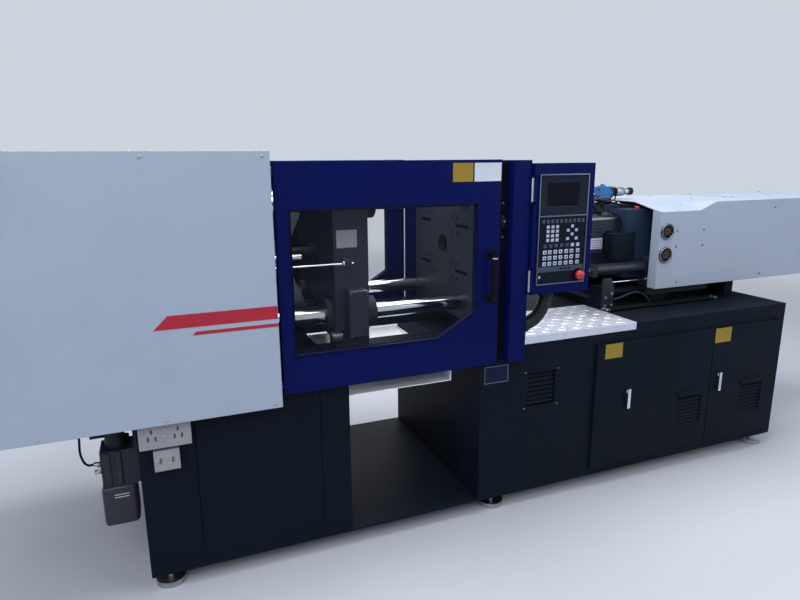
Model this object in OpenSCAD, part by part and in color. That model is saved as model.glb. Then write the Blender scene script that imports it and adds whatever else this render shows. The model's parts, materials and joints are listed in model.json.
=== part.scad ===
// Horizontal toggle-clamp injection moulding machine, mould open and guard doors shut.
// X runs from the clamp end to the injection end, Y away from the operator, Z up.
// Inside the modules X starts at the bed's clamp end and Y at its operator face;
// at_home() moves all of it so that the origin is under the middle of the machine.

/* [Bed] */
// Length of the bed
bed_len = 3174; // [3100:1:3400]
// Width of the bed
bed_w = 960; // [900:1:1040]
// Height of the bed's top face above the floor
bed_top = 797; // [760:1:860]
// Gap between the floor and the bed's underside
bed_clear = 62; // [55:1:90]
// Wall of the bed's plates
bed_wall = 10; // [6:0.5:16]
// Height of the longitudinal rails that carry the platens
rail_h = 80; // [60:1:100]
// Width of each of those rails
rail_w = 260; // [240:1:280]
// Clamp-side edge of the drop opening
drop_x = 768; // [740:1:790]
// Clamp-side edge of the centre column
column_x = 1349; // [1330:1:1360]
// Width of the centre column
column_w = 150; // [120:1:170]
// Diameter of a levelling pad
pad_d = 110; // [80:1:130]
// Diameter of a levelling stud
stud_d = 20; // [14:1:24]

/* [Clamp] */
// Height of the clamp axis above the bed
axis_h = 353; // [345:1:370]
// Diameter of a tie bar
tie_d = 65; // [50:1:70]
// Distance between tie bars, both ways
tie_pitch = 460; // [440:1:480]
// Width and height of a platen
platen_size = 640; // [620:1:650]
// Thickness of the fixed platen
fixed_platen_t = 180; // [150:1:185]
// Thickness of the moving platen
moving_platen_t = 144; // [120:1:150]
// Thickness of the rear platen
rear_platen_t = 180; // [150:1:185]
// Distance between the mould faces with the clamp open
daylight = 486; // [470:1:500]
// Clamp stroke
clamp_stroke = 300; // [240:1:310]
// Distance between the two pins of a toggle link
link_len = 250; // [245:1:260]
// Distance from the rear link's platen pin to its crosshead-link pin
ear_len = 80; // [70:1:84]
// Height of the platen pins above and below the clamp axis
pin_h = 275; // [272:1:280]
// Diameter of the toggle pins
toggle_pin_d = 40; // [30:1:44]
// Radius of the bosses round the toggle pins
boss_r = 38; // [32:1:40]
// Diameter of the locating hole for a mould
locating_d = 100; // [80:1:110]
// Depth of the locating hole
locating_depth = 22; // [10:1:30]
// Thread hole diameter of the mould bolts
mould_bolt_d = 16; // [12:1:20]
// Pitch of the mould bolt holes
mould_bolt_pitch = 70; // [60:1:70]
// Diameter of the ejector rod
ejector_d = 40; // [30:1:44]
// Stroke of the ejector
ejector_stroke = 60; // [40:1:60]

/* [Guards and doors] */
// Clamp-side edge of the white guard
guard_x = -700; // [-760:1:-640]
// Edge of the white guard at the door
guard_end_x = 497; // [480:1:500]
// Lower edge of the white guard
guard_z = 679; // [660:1:685]
// Gap between the platens' top and the top of the white guard
guard_rise = 110; // [105:1:150]
// Distance that the white guard stands out from the bed's face
guard_out = 70; // [66:1:90]
// Sheet thickness of the guards and covers
sheet = 3; // [2:0.5:4]
// Left edge of the sliding door
door_x = 510; // [502:1:520]
// Right edge of the sliding door
door_end_x = 1400; // [1390:1:1410]
// Lower edge of the sliding door
door_z = 712; // [709:1:720]
// Step from the guard's top down to the top of the sliding door
door_step = 34; // [20:1:40]
// Thickness of the sliding door's frame
door_t = 28; // [20:1:30]
// Left edge of the door post
post_x = 1443; // [1438:1:1448]
// Width of the door post
post_w = 80; // [70:1:84]
// Thickness of the window pane
pane_t = 5; // [3:0.5:8]

/* [Operator panel] */
// Width of the panel case
panel_w = 290; // [280:1:320]
// Height of the panel case
panel_h = 528; // [500:1:560]
// Depth of the panel case
panel_d = 100; // [80:1:110]
// Underside of the panel case above the floor
panel_z = 1002; // [960:1:1020]
// Diameter of the emergency stop's mushroom head
stop_d = 40; // [30:1:44]
// Diameter of the corrugated conduit
conduit_d = 58; // [40:1:60]

/* [Injection unit] */
// Place of the nozzle tip with the carriage as shown
nozzle_x = 1610; // [1600:1:1640]
// Outer diameter of the barrel
barrel_d = 104; // [90:1:110]
// Diameter of the screw
screw_d = 38; // [30:1:45]
// Clamp-side face of the feed housing
housing_x = 2360; // [2340:1:2370]
// Length of the feed housing
housing_len = 200; // [180:1:210]
// Width of the feed housing
housing_w = 320; // [300:1:330]
// Diameter of the feed throat
throat_d = 50; // [36:1:54]
// Injection stroke of the screw
injection_stroke = 160; // [100:1:160]
// Outer diameter of an injection cylinder
injection_cyl_d = 100; // [90:1:110]
// Distance between the injection cylinders
injection_pitch = 300; // [290:1:320]
// Diameter of a carriage guide rod
guide_d = 44; // [36:1:50]
// Distance between the carriage guide rods
guide_pitch = 340; // [320:1:360]
// Outer diameter of a carriage cylinder
carriage_cyl_d = 56; // [50:1:60]
// Left edge of the injection hood
hood_x = 2460; // [2450:1:2470]
// Length of the injection hood
hood_len = 1390; // [1300:1:1420]
// Width of the injection hood
hood_w = 570; // [550:1:590]
// Lower edge of the injection hood
hood_z = 895; // [885:1:900]
// Top of the injection hood
hood_top = 1325; // [1320:1:1335]

/* [Cabinet] */
// Left edge of the cabinet doors
cabinet_x = 1945; // [1930:1:1960]
// Seam between the cabinet doors
cabinet_seam_x = 2670; // [2640:1:2690]
// Right edge of the cabinet doors
cabinet_end_x = 3113; // [3090:1:3130]
// Top of the cabinet doors
cabinet_top = 717; // [700:1:730]
// Underside of the cabinet doors
cabinet_z = 100; // [90:1:120]
// Thickness of a cabinet door with its folded edge
cabinet_door_t = 12; // [10:1:12]
// Height of a latch handle
latch_h = 97; // [80:1:110]
// Length of the tread plate
tread_len = 592; // [560:1:600]
// Depth of the tread plate
tread_depth = 380; // [360:1:390]

/* [Hidden] */
$fn = 48;

// Clearances
eps = 0.3;
pin_gap = 0.05;
slide_gap = 0.3;

// The machine's middle and axis
axis_y = bed_w / 2;
axis_z = bed_top + axis_h;
guard_top = axis_z + platen_size / 2 + guard_rise;
door_top = guard_top - door_step;
guard_y = -guard_out;
far_guard_y = bed_w + guard_out;
post_out = 60;
panel_front_y = -post_out - 15;
stop_head = 38;
hood_end_x = hood_x + hood_len;
near_y = panel_front_y - stop_head;
far_y = far_guard_y;
mid_x = (guard_x + hood_end_x) / 2;
mid_y = (near_y + far_y) / 2;

// Bed
column_end = column_x + column_w;
rail_z = bed_top - rail_h;
foot_w = 95;
platen_z = axis_z - platen_size / 2;
platen_y = axis_y - platen_size / 2;
foot_inset = 65;
foot_y_inset = 60;

// Clamp places, mould open
mould_face_x = 1397;
moving_face_x = mould_face_x - daylight;
moving_back_x = moving_face_x - moving_platen_t;
lug_out = 62;
front_pin_x = moving_back_x - lug_out;
fold = acos(1 - clamp_stroke / (2 * link_len));
rear_pin_x = front_pin_x - 2 * link_len * cos(fold);
rear_face_x = rear_pin_x - lug_out + 2;
rear_back_x = rear_face_x - rear_platen_t;
knee_x = rear_pin_x + link_len * cos(fold);
knee_h = pin_h - link_len * sin(fold);
ear_x = rear_pin_x + ear_len * cos(fold);
ear_h = pin_h - ear_len * sin(fold);
cross_x = rear_pin_x + 2 * ear_len * cos(fold);
cross_travel = 2 * ear_len * (1 - cos(fold));
pin_r = toggle_pin_d / 2;

// Layers of the toggle from the middle outwards, each side
core_t = 28;
cross_link_in = 15;
cross_link_out = 27;
cheek_in = 29;
cheek_out = 59;
front_in = 60;
front_out = 88;
lug_in = 89;
lug_end = 115;

// Injection places
platen_far_x = mould_face_x + fixed_platen_t;
nozzle_len = 175;
barrel_x = nozzle_x + nozzle_len;
barrel_flange_t = 46;
housing_end = housing_x + housing_len;
housing_z = 940;
housing_top = 1290;
tread_x = platen_far_x + 2;
bracket_x = tread_x + tread_len + 9;
bracket_t = 60;
bridge_x = bracket_x + bracket_t + 250;
bridge_len = 410;
rail_bracket_end = 3100;
guide_z = bed_top + 78;
carriage_cyl_x = 2120;
carriage_cyl_len = 360;
carriage_cyl_pitch = housing_w + carriage_cyl_d + 4 + 2 * eps;
carriage_cyl_z = 1000;
injection_cyl_len = injection_stroke + 140;
plate_x = housing_end + injection_cyl_len + 40;
plate_t = 60;
hood_y = axis_y - hood_w / 2;

// Panel
panel_x = post_x + post_w + 5;
hinge_x = post_x + post_w + 2.5;
hinge_y = -post_out - 6;
recess_x = post_x - 40;

module at_home() { translate([-mid_x, -mid_y, 0]) children(); }

// A block from its lowest corner to its highest
module block(low, high) { translate(low) cube(high - low); }

// Cylinders along X, Y and Z from a starting point
module along_x(p, r, len) { translate(p) rotate([0, 90, 0]) cylinder(r = r, h = len); }
module along_y(p, r, len) { translate(p) rotate([-90, 0, 0]) cylinder(r = r, h = len); }
module along_z(p, r, len) { translate(p) cylinder(r = r, h = len); }

// The far-side copy of a piece drawn on the operator's side
module far_side() { translate([0, bed_w, 0]) mirror([0, 1, 0]) children(); }

module at_tie_bars() {
    for (sy = [-1, 1], sz = [-1, 1])
        translate([0, axis_y + sy * tie_pitch / 2, axis_z + sz * tie_pitch / 2]) children();
}

// Bed

module levelling_foot(x, y) {
    pad_h = 22;
    nut_h = 16;
    along_z([x, y, 0], pad_d / 2, pad_h);
    along_z([x, y, pad_h], stud_d / 2, bed_clear - pad_h + bed_wall + 14);
    translate([x, y, bed_clear - nut_h]) cylinder(r = stud_d * 0.9, h = nut_h, $fn = 6);
}

foot_xs = [foot_inset, column_end - 50, bed_len - foot_inset];
foot_ys = [foot_y_inset, bed_w - foot_y_inset];

module levelling_feet() {
    color("dimgray") at_home() for (x = foot_xs, y = foot_ys) levelling_foot(x, y);
}

// Bores in a bed's floor for the studs
module foot_bores() {
    for (x = foot_xs, y = foot_ys) along_z([x, y, bed_clear - 1], stud_d / 2 + 0.2, bed_wall + 2);
}

// Shallow seams where cover sheets meet on the bed's face
module face_seam(x, z0, z1) { block([x, -1, z0], [x + 3, 3, z1]); }

module clamp_base() {
    color("#3a4450") at_home() difference() {
        union() {
            block([0, 0, bed_clear], [drop_x, bed_w, rail_z]);
            block([drop_x - 1, 0, bed_clear], [column_x, bed_w, bed_clear + bed_wall]);
        }
        block([bed_wall, bed_wall, bed_clear + bed_wall],
            [drop_x - bed_wall, bed_w - bed_wall, rail_z - bed_wall]);
        for (x = [188, 650]) face_seam(x, bed_clear + 90, rail_z + 1);
        foot_bores();
    }
}

module bed_rails() {
    color("#3a4450") at_home() for (y = [0, bed_w - rail_w]) {
        difference() {
            block([0, y, rail_z], [column_end, y + rail_w, bed_top]);
            block([bed_wall, y + bed_wall, rail_z + bed_wall],
                [column_end - bed_wall, y + rail_w - bed_wall, bed_top - bed_wall]);
        }
    }
}

module centre_column() {
    color("#3a4450") at_home() difference() {
        block([column_x, 0, bed_clear], [column_end, bed_w, rail_z]);
        block([column_x + bed_wall, bed_wall, bed_clear + bed_wall],
            [column_end - bed_wall, bed_w - bed_wall, rail_z - bed_wall]);
        foot_bores();
    }
}

door_gap = 5;
hinge_inset = 5;
door_back_gap = 2;
hinge_pin_r = 3.5;
hinge_tab = 14;

// Hinge tabs above and below a cabinet door, each with its pin
module cabinet_hinge(x_right) {
    x = x_right - hinge_inset;
    y = -door_back_gap - cabinet_door_t / 2 - 1;
    for (up = [0, 1]) {
        z = up == 1 ? cabinet_top + 1 : cabinet_z - 1 - 6;
        block([x - hinge_tab / 2, y - hinge_tab / 2, z], [x + hinge_tab / 2, 0.5, z + 6]);
        along_z([x, y, up == 1 ? z - 12 : z], hinge_pin_r, 18);
    }
}

vent_x = 1585;
vent_w = 146;
vent_z = 473;
vent_h = 154;

module injection_base() {
    tank_x = cabinet_x - 30;
    mouth = 25;
    color("#3a4450") at_home() {
        difference() {
            block([column_end, 0, bed_clear], [bed_len, bed_w, bed_top]);
            block([column_end + bed_wall, bed_wall, bed_clear + bed_wall],
                [tank_x, bed_w - bed_wall, bed_top - bed_wall]);
            block([tank_x + bed_wall, bed_wall, bed_clear + bed_wall],
                [bed_len - bed_wall, bed_w - bed_wall, bed_top - bed_wall]);
            for (x = [[cabinet_x, cabinet_seam_x], [cabinet_seam_x, cabinet_end_x]])
                block([x[0] + mouth, -1, cabinet_z + mouth],
                    [x[1] - mouth, bed_wall + 1, cabinet_top - mouth]);
            block([vent_x, -1, vent_z], [vent_x + vent_w, bed_wall + 1, vent_z + vent_h]);
            foot_bores();
        }
        cabinet_hinge(cabinet_seam_x - door_gap / 2);
        cabinet_hinge(cabinet_end_x - door_gap / 2);
        for (i = [0:6]) {
            z = vent_z + 8 + i * 21;
            translate([vent_x, 4, z]) rotate([-40, 0, 0]) cube([vent_w, 2, 18]);
        }
    }
}

// Sheet funnel under the mould that sheds parts towards the operator
module drop_chute() {
    t = 3;
    x0 = drop_x + 8;
    x1 = column_x - 120;
    front = [40, 640];
    back = [bed_w - rail_w - 12, rail_z - 4];
    color("white") at_home() {
        translate([x0, 0, 0]) rotate([90, 0, 90]) linear_extrude(x1 - x0)
            polygon([front, [front[0], front[1] - t], [back[0], back[1] - t - 2], back]);
        for (x = [x0, x1 - t]) translate([x, 0, 0]) rotate([90, 0, 90]) linear_extrude(t)
            polygon([front, back, [back[0], rail_z], [front[0], rail_z]]);
    }
}

// Tread plate, narrower beside the fixed platen, with a lip down the bed's face
module tread_plate() {
    t = 4;
    lip = 31;
    left = post_x + post_w + 2;
    color("lightgray") at_home() {
        block([tread_x, -t, bed_top], [tread_x + tread_len, tread_depth, bed_top + t]);
        block([left, -t, bed_top], [tread_x + 1, platen_y - 4, bed_top + t]);
        block([left, -t, bed_top - lip], [tread_x + tread_len, 0, bed_top + t]);
    }
}

// Two surface sockets on the bed's clamp end: a double one and the strip above it
module mains_sockets() {
    color("ivory") at_home() {
        difference() {
            block([7, -36, 582], [179, 0, 668]);
            for (x = [50, 136], s = [-12, 12]) block([x + s - 3, -37, 610], [x + s + 3, -24, 628]);
            for (x = [50, 136]) block([x - 3, -37, 638], [x + 3, -24, 654]);
        }
        difference() {
            block([49, -30, 492], [135, 0, 570]);
            for (s = [-20, 20]) block([92 + s - 3, -31, 520], [92 + s + 3, -20, 540]);
        }
    }
}

lube_x = -76;
lube_y = 110;

module lube_pump() {
    color("#2c3036") at_home() {
        block([-14, lube_y - 60, 430], [0, lube_y + 60, 640]);
        block([lube_x - 50, lube_y - 55, 425], [-14, lube_y + 55, 560]);
        along_z([lube_x, lube_y, 560], 34, 52);
        along_x([lube_x - 80, lube_y, 600], 7, 60);
        along_z([lube_x + 36, lube_y + 20, 560], 10, 26);
    }
}

module lube_reservoir() {
    color("gainsboro") at_home() difference() {
        union() {
            along_z([lube_x, lube_y, 270], 58, 145);
            along_z([lube_x, lube_y, 415], 44, 10);
        }
        along_z([lube_x, lube_y, 274], 54, 137);
    }
}

// Guards

module guard_panel() {
    flange = 24;
    block([guard_x, guard_y, guard_z], [guard_end_x, guard_y + sheet, guard_top]);
    block([guard_end_x - sheet, guard_y, guard_z], [guard_end_x, guard_y + flange, guard_top]);
    for (x = [30, 420]) block([x, guard_y + sheet, guard_z + 5], [x + 40, 0, door_z - 5]);
}

module front_guard() { color("whitesmoke") at_home() guard_panel(); }
module rear_guard() { color("whitesmoke") at_home() far_side() guard_panel(); }

// Top sheet and the sheet across the clamp end
module top_guard() {
    color("whitesmoke") at_home() {
        block([guard_x, guard_y + sheet, guard_z], [guard_x + sheet, far_guard_y - sheet, guard_top]);
        block([guard_x + sheet, guard_y + sheet, guard_top - sheet],
            [guard_end_x - sheet, far_guard_y - sheet, guard_top]);
        for (y = [guard_y + sheet, far_guard_y - 2 * sheet])
            block([guard_x + sheet, y, guard_top - 27], [guard_end_x - sheet, y + sheet, guard_top]);
    }
}

tab_zs = [panel_z + 3, panel_z + 103, panel_z + 369, panel_z + 473];
tab_h = 8;

// A door post with the recessed sheet beside the door
module door_post() {
    post_wall = 4;
    difference() {
        union() {
            block([post_x, -post_out, bed_top], [post_x + post_w, 40, door_top - 3]);
            block([post_x, -post_out, door_z + 6], [post_x + post_w, 0, bed_top + 1]);
            block([recess_x, -12, bed_top], [post_x + 1, 40, door_top - 3]);
        }
        block([post_x + post_wall, -post_out + post_wall, bed_top + post_wall],
            [post_x + post_w - post_wall, 40 - post_wall, door_top - 3 - post_wall]);
    }
}

module door_posts() {
    color("#1c2b6e") at_home() {
        door_post();
        far_side() door_post();
        difference() {
            for (z = tab_zs)
                block([hinge_x - 12, hinge_y - 6, z], [hinge_x + 1.5, -post_out + 0.5, z + tab_h]);
            for (z = tab_zs) along_z([hinge_x, hinge_y, z - 1], 2.5, tab_h + 2);
        }
        for (z = [tab_zs[0], tab_zs[2]])
            along_z([hinge_x, hinge_y, z], 2.5, tab_zs[1] - tab_zs[0] + tab_h);
    }
}

track_drop = 56;
track_z = door_top - track_drop;
track_h = 30;
track_x = -300;

module door_rail() {
    block([track_x, 0, track_z], [recess_x, 15, track_z + track_h]);
    block([track_x, guard_y + sheet, track_z], [track_x + 40, 15, track_z + track_h]);
    block([0, -11, rail_z + 10], [post_x, 0, rail_z + 30]);
}

module door_rails() {
    color("silver") at_home() {
        door_rail();
        far_side() door_rail();
    }
}

door_front_y = -40;
win_x = 560;
win_end = 1296;
win_z = 852;
win_top = 1378;

// Outline of the window with its cut lower corner, grown by a margin
module window_shape(grow) {
    polygon([[win_x - grow, win_z - grow], [win_end - 163 + grow * 0.4, win_z - grow],
        [win_end + grow, win_z + 96 - grow * 0.4], [win_end + grow, win_top + grow],
        [win_x - grow, win_top + grow]]);
}

module upright(y, t) { translate([0, y + t, 0]) rotate([90, 0, 0]) linear_extrude(t) children(); }

hanger_xs = [door_x + 60, door_end_x - 120];

module sliding_door() {
    back = door_front_y + door_t;
    difference() {
        block([door_x, door_front_y, door_z], [door_end_x, back, door_top]);
        upright(door_front_y - 1, door_t + 2) window_shape(0);
        upright(door_front_y + 8, pane_t + 0.4) window_shape(14);
    }
    for (x = hanger_xs) {
        block([x, back - 1, track_z + track_h + eps], [x + 50, 18.5, track_z + track_h + 14]);
        block([x, 15.5, track_z + 10], [x + 50, 18.5, track_z + track_h + 5]);
    }
}

module pane() { upright(door_front_y + 8.2, pane_t) window_shape(13.8); }

module front_door() { color("#1c2b6e") at_home() sliding_door(); }
module front_window() { color([0.75, 0.8, 0.85, 0.35]) at_home() pane(); }
module rear_door() { color("#1c2b6e") at_home() far_side() sliding_door(); }
module rear_window() { color([0.75, 0.8, 0.85, 0.35]) at_home() far_side() pane(); }

module front_door_handle() {
    x = door_end_x - 42;
    grip_r = 11;
    color("#181818") at_home() {
        for (z = [1000, 1178]) along_y([x, door_front_y - 34, z], 9, 34);
        along_z([x, door_front_y - 34, 990], grip_r, 198);
    }
}

// Clamp

tie_x = -20;
nut_t = 70;
tie_end_x = platen_far_x + nut_t + 15;

module tie_bars() {
    color("silver") at_home() at_tie_bars() along_x([tie_x, 0, 0], tie_d / 2, tie_end_x - tie_x);
}

module tie_nut(x) {
    difference() {
        union() {
            along_x([x, 0, 0], tie_d / 2 + 26, nut_t - 20);
            along_x([x + nut_t - 20, 0, 0], tie_d / 2 + 18, 20);
        }
        along_x([x - 1, 0, 0], tie_d / 2, nut_t + 2);
    }
}

module tie_bar_nuts() { color("dimgray") at_home() at_tie_bars() tie_nut(platen_far_x); }

// A platen's block with its edges cut back round the tie bars
module platen_body(x0, t, feet_gap) {
    corner = 40;
    translate([x0, axis_y, axis_z]) rotate([90, 0, 90]) linear_extrude(t) polygon([
        for (q = [[1, 1], [-1, 1], [-1, -1], [1, -1]], k = [0, 1])
        let (first = (q[0] * q[1] > 0) ? k == 0 : k == 1)
        [q[0] * (platen_size / 2 - (first ? 0 : corner)), q[1] * (platen_size / 2 - (first ? corner : 0))]]);
    for (y = [platen_y + 5, platen_y + platen_size - 5 - foot_w])
        block([x0, y, bed_top + feet_gap], [x0 + t, y + foot_w, platen_z + 60]);
}

bolt_rows = [-3, -2, 2, 3];

// Mould bolt holes, drawn to the side that the face looks to
module mould_holes(x, depth) {
    for (iy = bolt_rows, iz = [-2, -1, 1, 2])
        if (abs(iy) < 3 || abs(iz) < 3)
            along_x([x, axis_y + iy * mould_bolt_pitch * 0.72, axis_z + iz * mould_bolt_pitch],
                mould_bolt_d / 2, depth);
}

// Horizontal clamping slots between the bolt holes
module mould_slots(x, dir) {
    for (sy = [-1, 1], z = [-1.5, 1.5]) {
        y0 = axis_y + sy * (tie_pitch / 2 - 36) - 60;
        zc = axis_z + z * mould_bolt_pitch;
        block([min(x, x + dir * 14), y0, zc - 9], [max(x, x + dir * 14), y0 + 120, zc + 9]);
        block([min(x + dir * 13, x + dir * 30), y0, zc - 15],
            [max(x + dir * 13, x + dir * 30), y0 + 120, zc + 15]);
    }
}

module fixed_platen() {
    cone_r = 70;
    color("#5b6068") at_home() difference() {
        platen_body(mould_face_x, fixed_platen_t, 0);
        at_tie_bars() along_x([mould_face_x - 1, 0, 0], tie_d / 2, fixed_platen_t + 2);
        along_x([mould_face_x - 1, axis_y, axis_z], locating_d / 2, locating_depth + 1);
        along_x([mould_face_x, axis_y, axis_z], 36, fixed_platen_t);
        translate([mould_face_x + 60, axis_y, axis_z]) rotate([0, 90, 0])
            cylinder(r1 = 36, r2 = cone_r, h = fixed_platen_t - 59);
        mould_holes(mould_face_x - 1, 35);
        mould_slots(mould_face_x - 0.01, 1);
    }
}

module stub_pins(x, h, y0, y1, r) {
    for (sy = [-1, 1], sz = [-1, 1])
        along_y([x, axis_y + (sy > 0 ? y0 : -y1), axis_z + sz * h], r, y1 - y0);
}

// Lugs that reach from a platen's face to the toggle pins
module lugs(pin_x, face_x, y0, y1) {
    for (sy = [-1, 1], sz = [-1, 1]) {
        y = axis_y + (sy > 0 ? y0 : -y1);
        along_y([pin_x, y, axis_z + sz * pin_h], boss_r, y1 - y0);
        block([min(pin_x, face_x), y, axis_z + sz * pin_h - boss_r],
            [max(pin_x, face_x), y + y1 - y0, axis_z + sz * pin_h + boss_r]);
    }
}

rod_r = 25;
guide_rod_r = 13;
guide_rod_y = 105;
guide_seat = 30;

module rear_platen() {
    color("#5b6068") at_home() {
        difference() {
            union() {
                platen_body(rear_back_x, rear_platen_t, slide_gap);
                lugs(rear_pin_x, rear_face_x - 1, front_in, front_out);
            }
            at_tie_bars() along_x([rear_back_x - 1, 0, 0], tie_d / 2 + slide_gap, rear_platen_t + 2);
            along_x([rear_back_x - 1, axis_y, axis_z], rod_r + slide_gap, rear_platen_t + 2);
            for (sy = [-1, 1]) along_x([rear_face_x - guide_seat, axis_y + sy * guide_rod_y, axis_z],
                guide_rod_r, guide_seat + 1);
        }
        stub_pins(rear_pin_x, pin_h, cheek_in - 2, front_in + 1, pin_r);
    }
}

module mould_height_nuts() {
    color("dimgray") at_home() at_tie_bars() difference() {
        union() {
            along_x([rear_back_x - nut_t, 0, 0], tie_d / 2 + 24, nut_t);
            along_x([rear_back_x - nut_t + 12, 0, 0], tie_d / 2 + 34, 16);
        }
        along_x([rear_back_x - nut_t - 1, 0, 0], tie_d / 2 + slide_gap, nut_t + 2);
    }
}

cyl_len = cross_travel + 150;
cyl_r = 75;
cyl_bore = 55;

module clamp_cylinder() {
    cap = 26;
    flange = 30;
    x0 = rear_back_x - cyl_len;
    color("#49505a") at_home() difference() {
        union() {
            along_x([x0, axis_y, axis_z], cyl_r, cyl_len);
            block([rear_back_x - flange, axis_y - 105, axis_z - 105],
                [rear_back_x, axis_y + 105, axis_z + 105]);
            block([x0 - 1, axis_y - 82, axis_z - 82], [x0 + cap, axis_y + 82, axis_z + 82]);
        }
        along_x([x0 + cap, axis_y, axis_z], cyl_bore, cyl_len - cap - flange);
        along_x([x0 + cap, axis_y, axis_z], rod_r + slide_gap, cyl_len);
    }
}

module crosshead_guide_rods() {
    color("silver") at_home() for (sy = [-1, 1])
        along_x([rear_face_x - guide_seat, axis_y + sy * guide_rod_y, axis_z], guide_rod_r,
            guide_seat + cross_x + cross_travel - rear_face_x + 20);
}

tie_boss_r = 65;

module moving_platen() {
    color("#5b6068") at_home() {
        difference() {
            union() {
                platen_body(moving_back_x, moving_platen_t, slide_gap);
                at_tie_bars() along_x([moving_back_x - 21, 0, 0], tie_boss_r, moving_platen_t + 68);
                lugs(front_pin_x, moving_back_x + 1, cheek_in, cheek_out);
                lugs(front_pin_x, moving_back_x + 1, lug_in, lug_end);
            }
            at_tie_bars() along_x([moving_back_x - 30, 0, 0], tie_d / 2 + slide_gap, moving_platen_t + 90);
            along_x([moving_back_x - 1, axis_y, axis_z], ejector_d / 2 + slide_gap, moving_platen_t + 2);
            mould_holes(moving_face_x - 34, 35);
            mould_slots(moving_face_x + 0.01, -1);
        }
        stub_pins(front_pin_x, pin_h, cheek_in + 1, lug_end - 1, pin_r);
    }
}

ejector_r = 28;
ejector_len = ejector_stroke + 40;

module ejector_cylinder() {
    cap = 10;
    x0 = moving_back_x - ejector_len;
    color("#49505a") at_home() difference() {
        union() {
            along_x([x0, axis_y, axis_z], ejector_r, ejector_len);
            along_x([moving_back_x - 14, axis_y, axis_z], ejector_r + 14, 14);
        }
        along_x([x0 + cap, axis_y, axis_z], ejector_r - 5, ejector_len - cap - 14);
        along_x([x0 + cap, axis_y, axis_z], ejector_d / 2 + slide_gap, ejector_len);
    }
}

module ejector_rod() {
    x0 = moving_back_x - ejector_len + 10 + slide_gap;
    color("silver") at_home() {
        along_x([x0, axis_y, axis_z], ejector_r - 5 - slide_gap, 12);
        along_x([x0, axis_y, axis_z], ejector_d / 2, moving_face_x - x0);
    }
}

// Toggle links, side 1 above the axis and -1 below it

module link_bar(len, r, waist, y0, y1) {
    for (sy = [-1, 1]) translate([0, (sy > 0 ? y1 : -y0), 0]) rotate([90, 0, 0]) linear_extrude(y1 - y0) {
        circle(r);
        translate([len, 0]) circle(r);
        translate([0, -waist / 2]) square([len, waist]);
    }
}

module rear_link(side) {
    ear_r = 14;
    translate([rear_pin_x, axis_y, axis_z + side * pin_h]) rotate([0, side * fold, 0]) {
        difference() {
            link_bar(link_len, boss_r, boss_r * 1.4, cheek_in, cheek_out);
            along_y([0, -cheek_out - 1, 0], pin_r + pin_gap, 2 * cheek_out + 2);
        }
        along_y([link_len, -front_out, 0], pin_r, 2 * front_out);
        along_y([ear_len, -cheek_in - 1, 0], ear_r, 2 * cheek_in + 2);
    }
}

module front_link(side) {
    translate([knee_x, axis_y, axis_z + side * knee_h]) rotate([0, -side * fold, 0]) difference() {
        link_bar(link_len, boss_r, boss_r * 1.4, front_in, front_out);
        for (x = [0, link_len]) along_y([x, -front_out - 1, 0], pin_r + pin_gap, 2 * front_out + 2);
    }
}

cross_pin_r = 12;

module crosshead_link(side) {
    translate([ear_x, axis_y, axis_z + side * ear_h]) rotate([0, -side * fold, 0]) difference() {
        link_bar(ear_len, 24, 34, cross_link_in, cross_link_out);
        along_y([0, -cheek_in, 0], 14 + pin_gap, 2 * cheek_in);
        along_y([ear_len, -cheek_in, 0], cross_pin_r + pin_gap, 2 * cheek_in);
    }
}

module upper_rear_link() { color("#8b4a3a") at_home() rear_link(1); }
module lower_rear_link() { color("#8b4a3a") at_home() rear_link(-1); }
module upper_front_link() { color("#6b7078") at_home() front_link(1); }
module lower_front_link() { color("#6b7078") at_home() front_link(-1); }
module upper_crosshead_link() { color("#a08030") at_home() crosshead_link(1); }
module lower_crosshead_link() { color("#a08030") at_home() crosshead_link(-1); }

// Crosshead: a plate that bends round the knees, its wings on the guide rods, and the piston rod
module crosshead() {
    hub_x = -75;
    hub_end = -22;
    wing_y = guide_rod_y + 24;
    piston_x = rear_back_x - cyl_len + 30;
    color("#7a5c30") at_home() {
        difference() {
            translate([cross_x, axis_y, axis_z]) union() {
                translate([0, core_t / 2, 0]) rotate([90, 0, 0]) linear_extrude(core_t) {
                    polygon([[hub_x, -44], [hub_x, 44], [-14, 168], [-18, pin_h], [18, pin_h], [22, 150],
                        [-6, 70], [hub_end, 44], [hub_end, -44], [-6, -70], [22, -150], [18, -pin_h],
                        [-18, -pin_h], [-14, -168]]);
                    for (s = [-1, 1]) translate([0, s * pin_h]) circle(22);
                }
                block([hub_x, -42, -36], [hub_end, 42, 36]);
                block([hub_x + 5, -wing_y, -24], [hub_end, wing_y, 24]);
                for (s = [-1, 1]) along_y([0, -cross_link_out - 0.5, s * pin_h], cross_pin_r,
                    2 * cross_link_out + 1);
            }
            for (sy = [-1, 1]) along_x([cross_x + hub_x, axis_y + sy * guide_rod_y, axis_z],
                guide_rod_r + slide_gap, 80);
        }
        along_x([piston_x, axis_y, axis_z], rod_r, cross_x + hub_x - piston_x + 1);
        along_x([piston_x, axis_y, axis_z], cyl_bore - slide_gap, 36);
    }
}

// Injection unit

module at_guides() { for (s = [-1, 1]) translate([0, axis_y + s * guide_pitch / 2, guide_z]) children(); }

module carriage_rails() {
    color("#4a4f58") at_home() {
        for (x = [bracket_x, rail_bracket_end - bracket_t])
            block([x, axis_y - guide_pitch / 2 - 40, bed_top],
                [x + bracket_t, axis_y + guide_pitch / 2 + 40, bed_top + 42]);
        for (x = [bracket_x, rail_bracket_end - bracket_t]) at_guides()
            block([x, -40, -40], [x + bracket_t, 40, 34]);
        at_guides() along_x([bracket_x + 1, 0, 0], guide_d / 2, rail_bracket_end - bracket_x - 2);
    }
}

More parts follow.
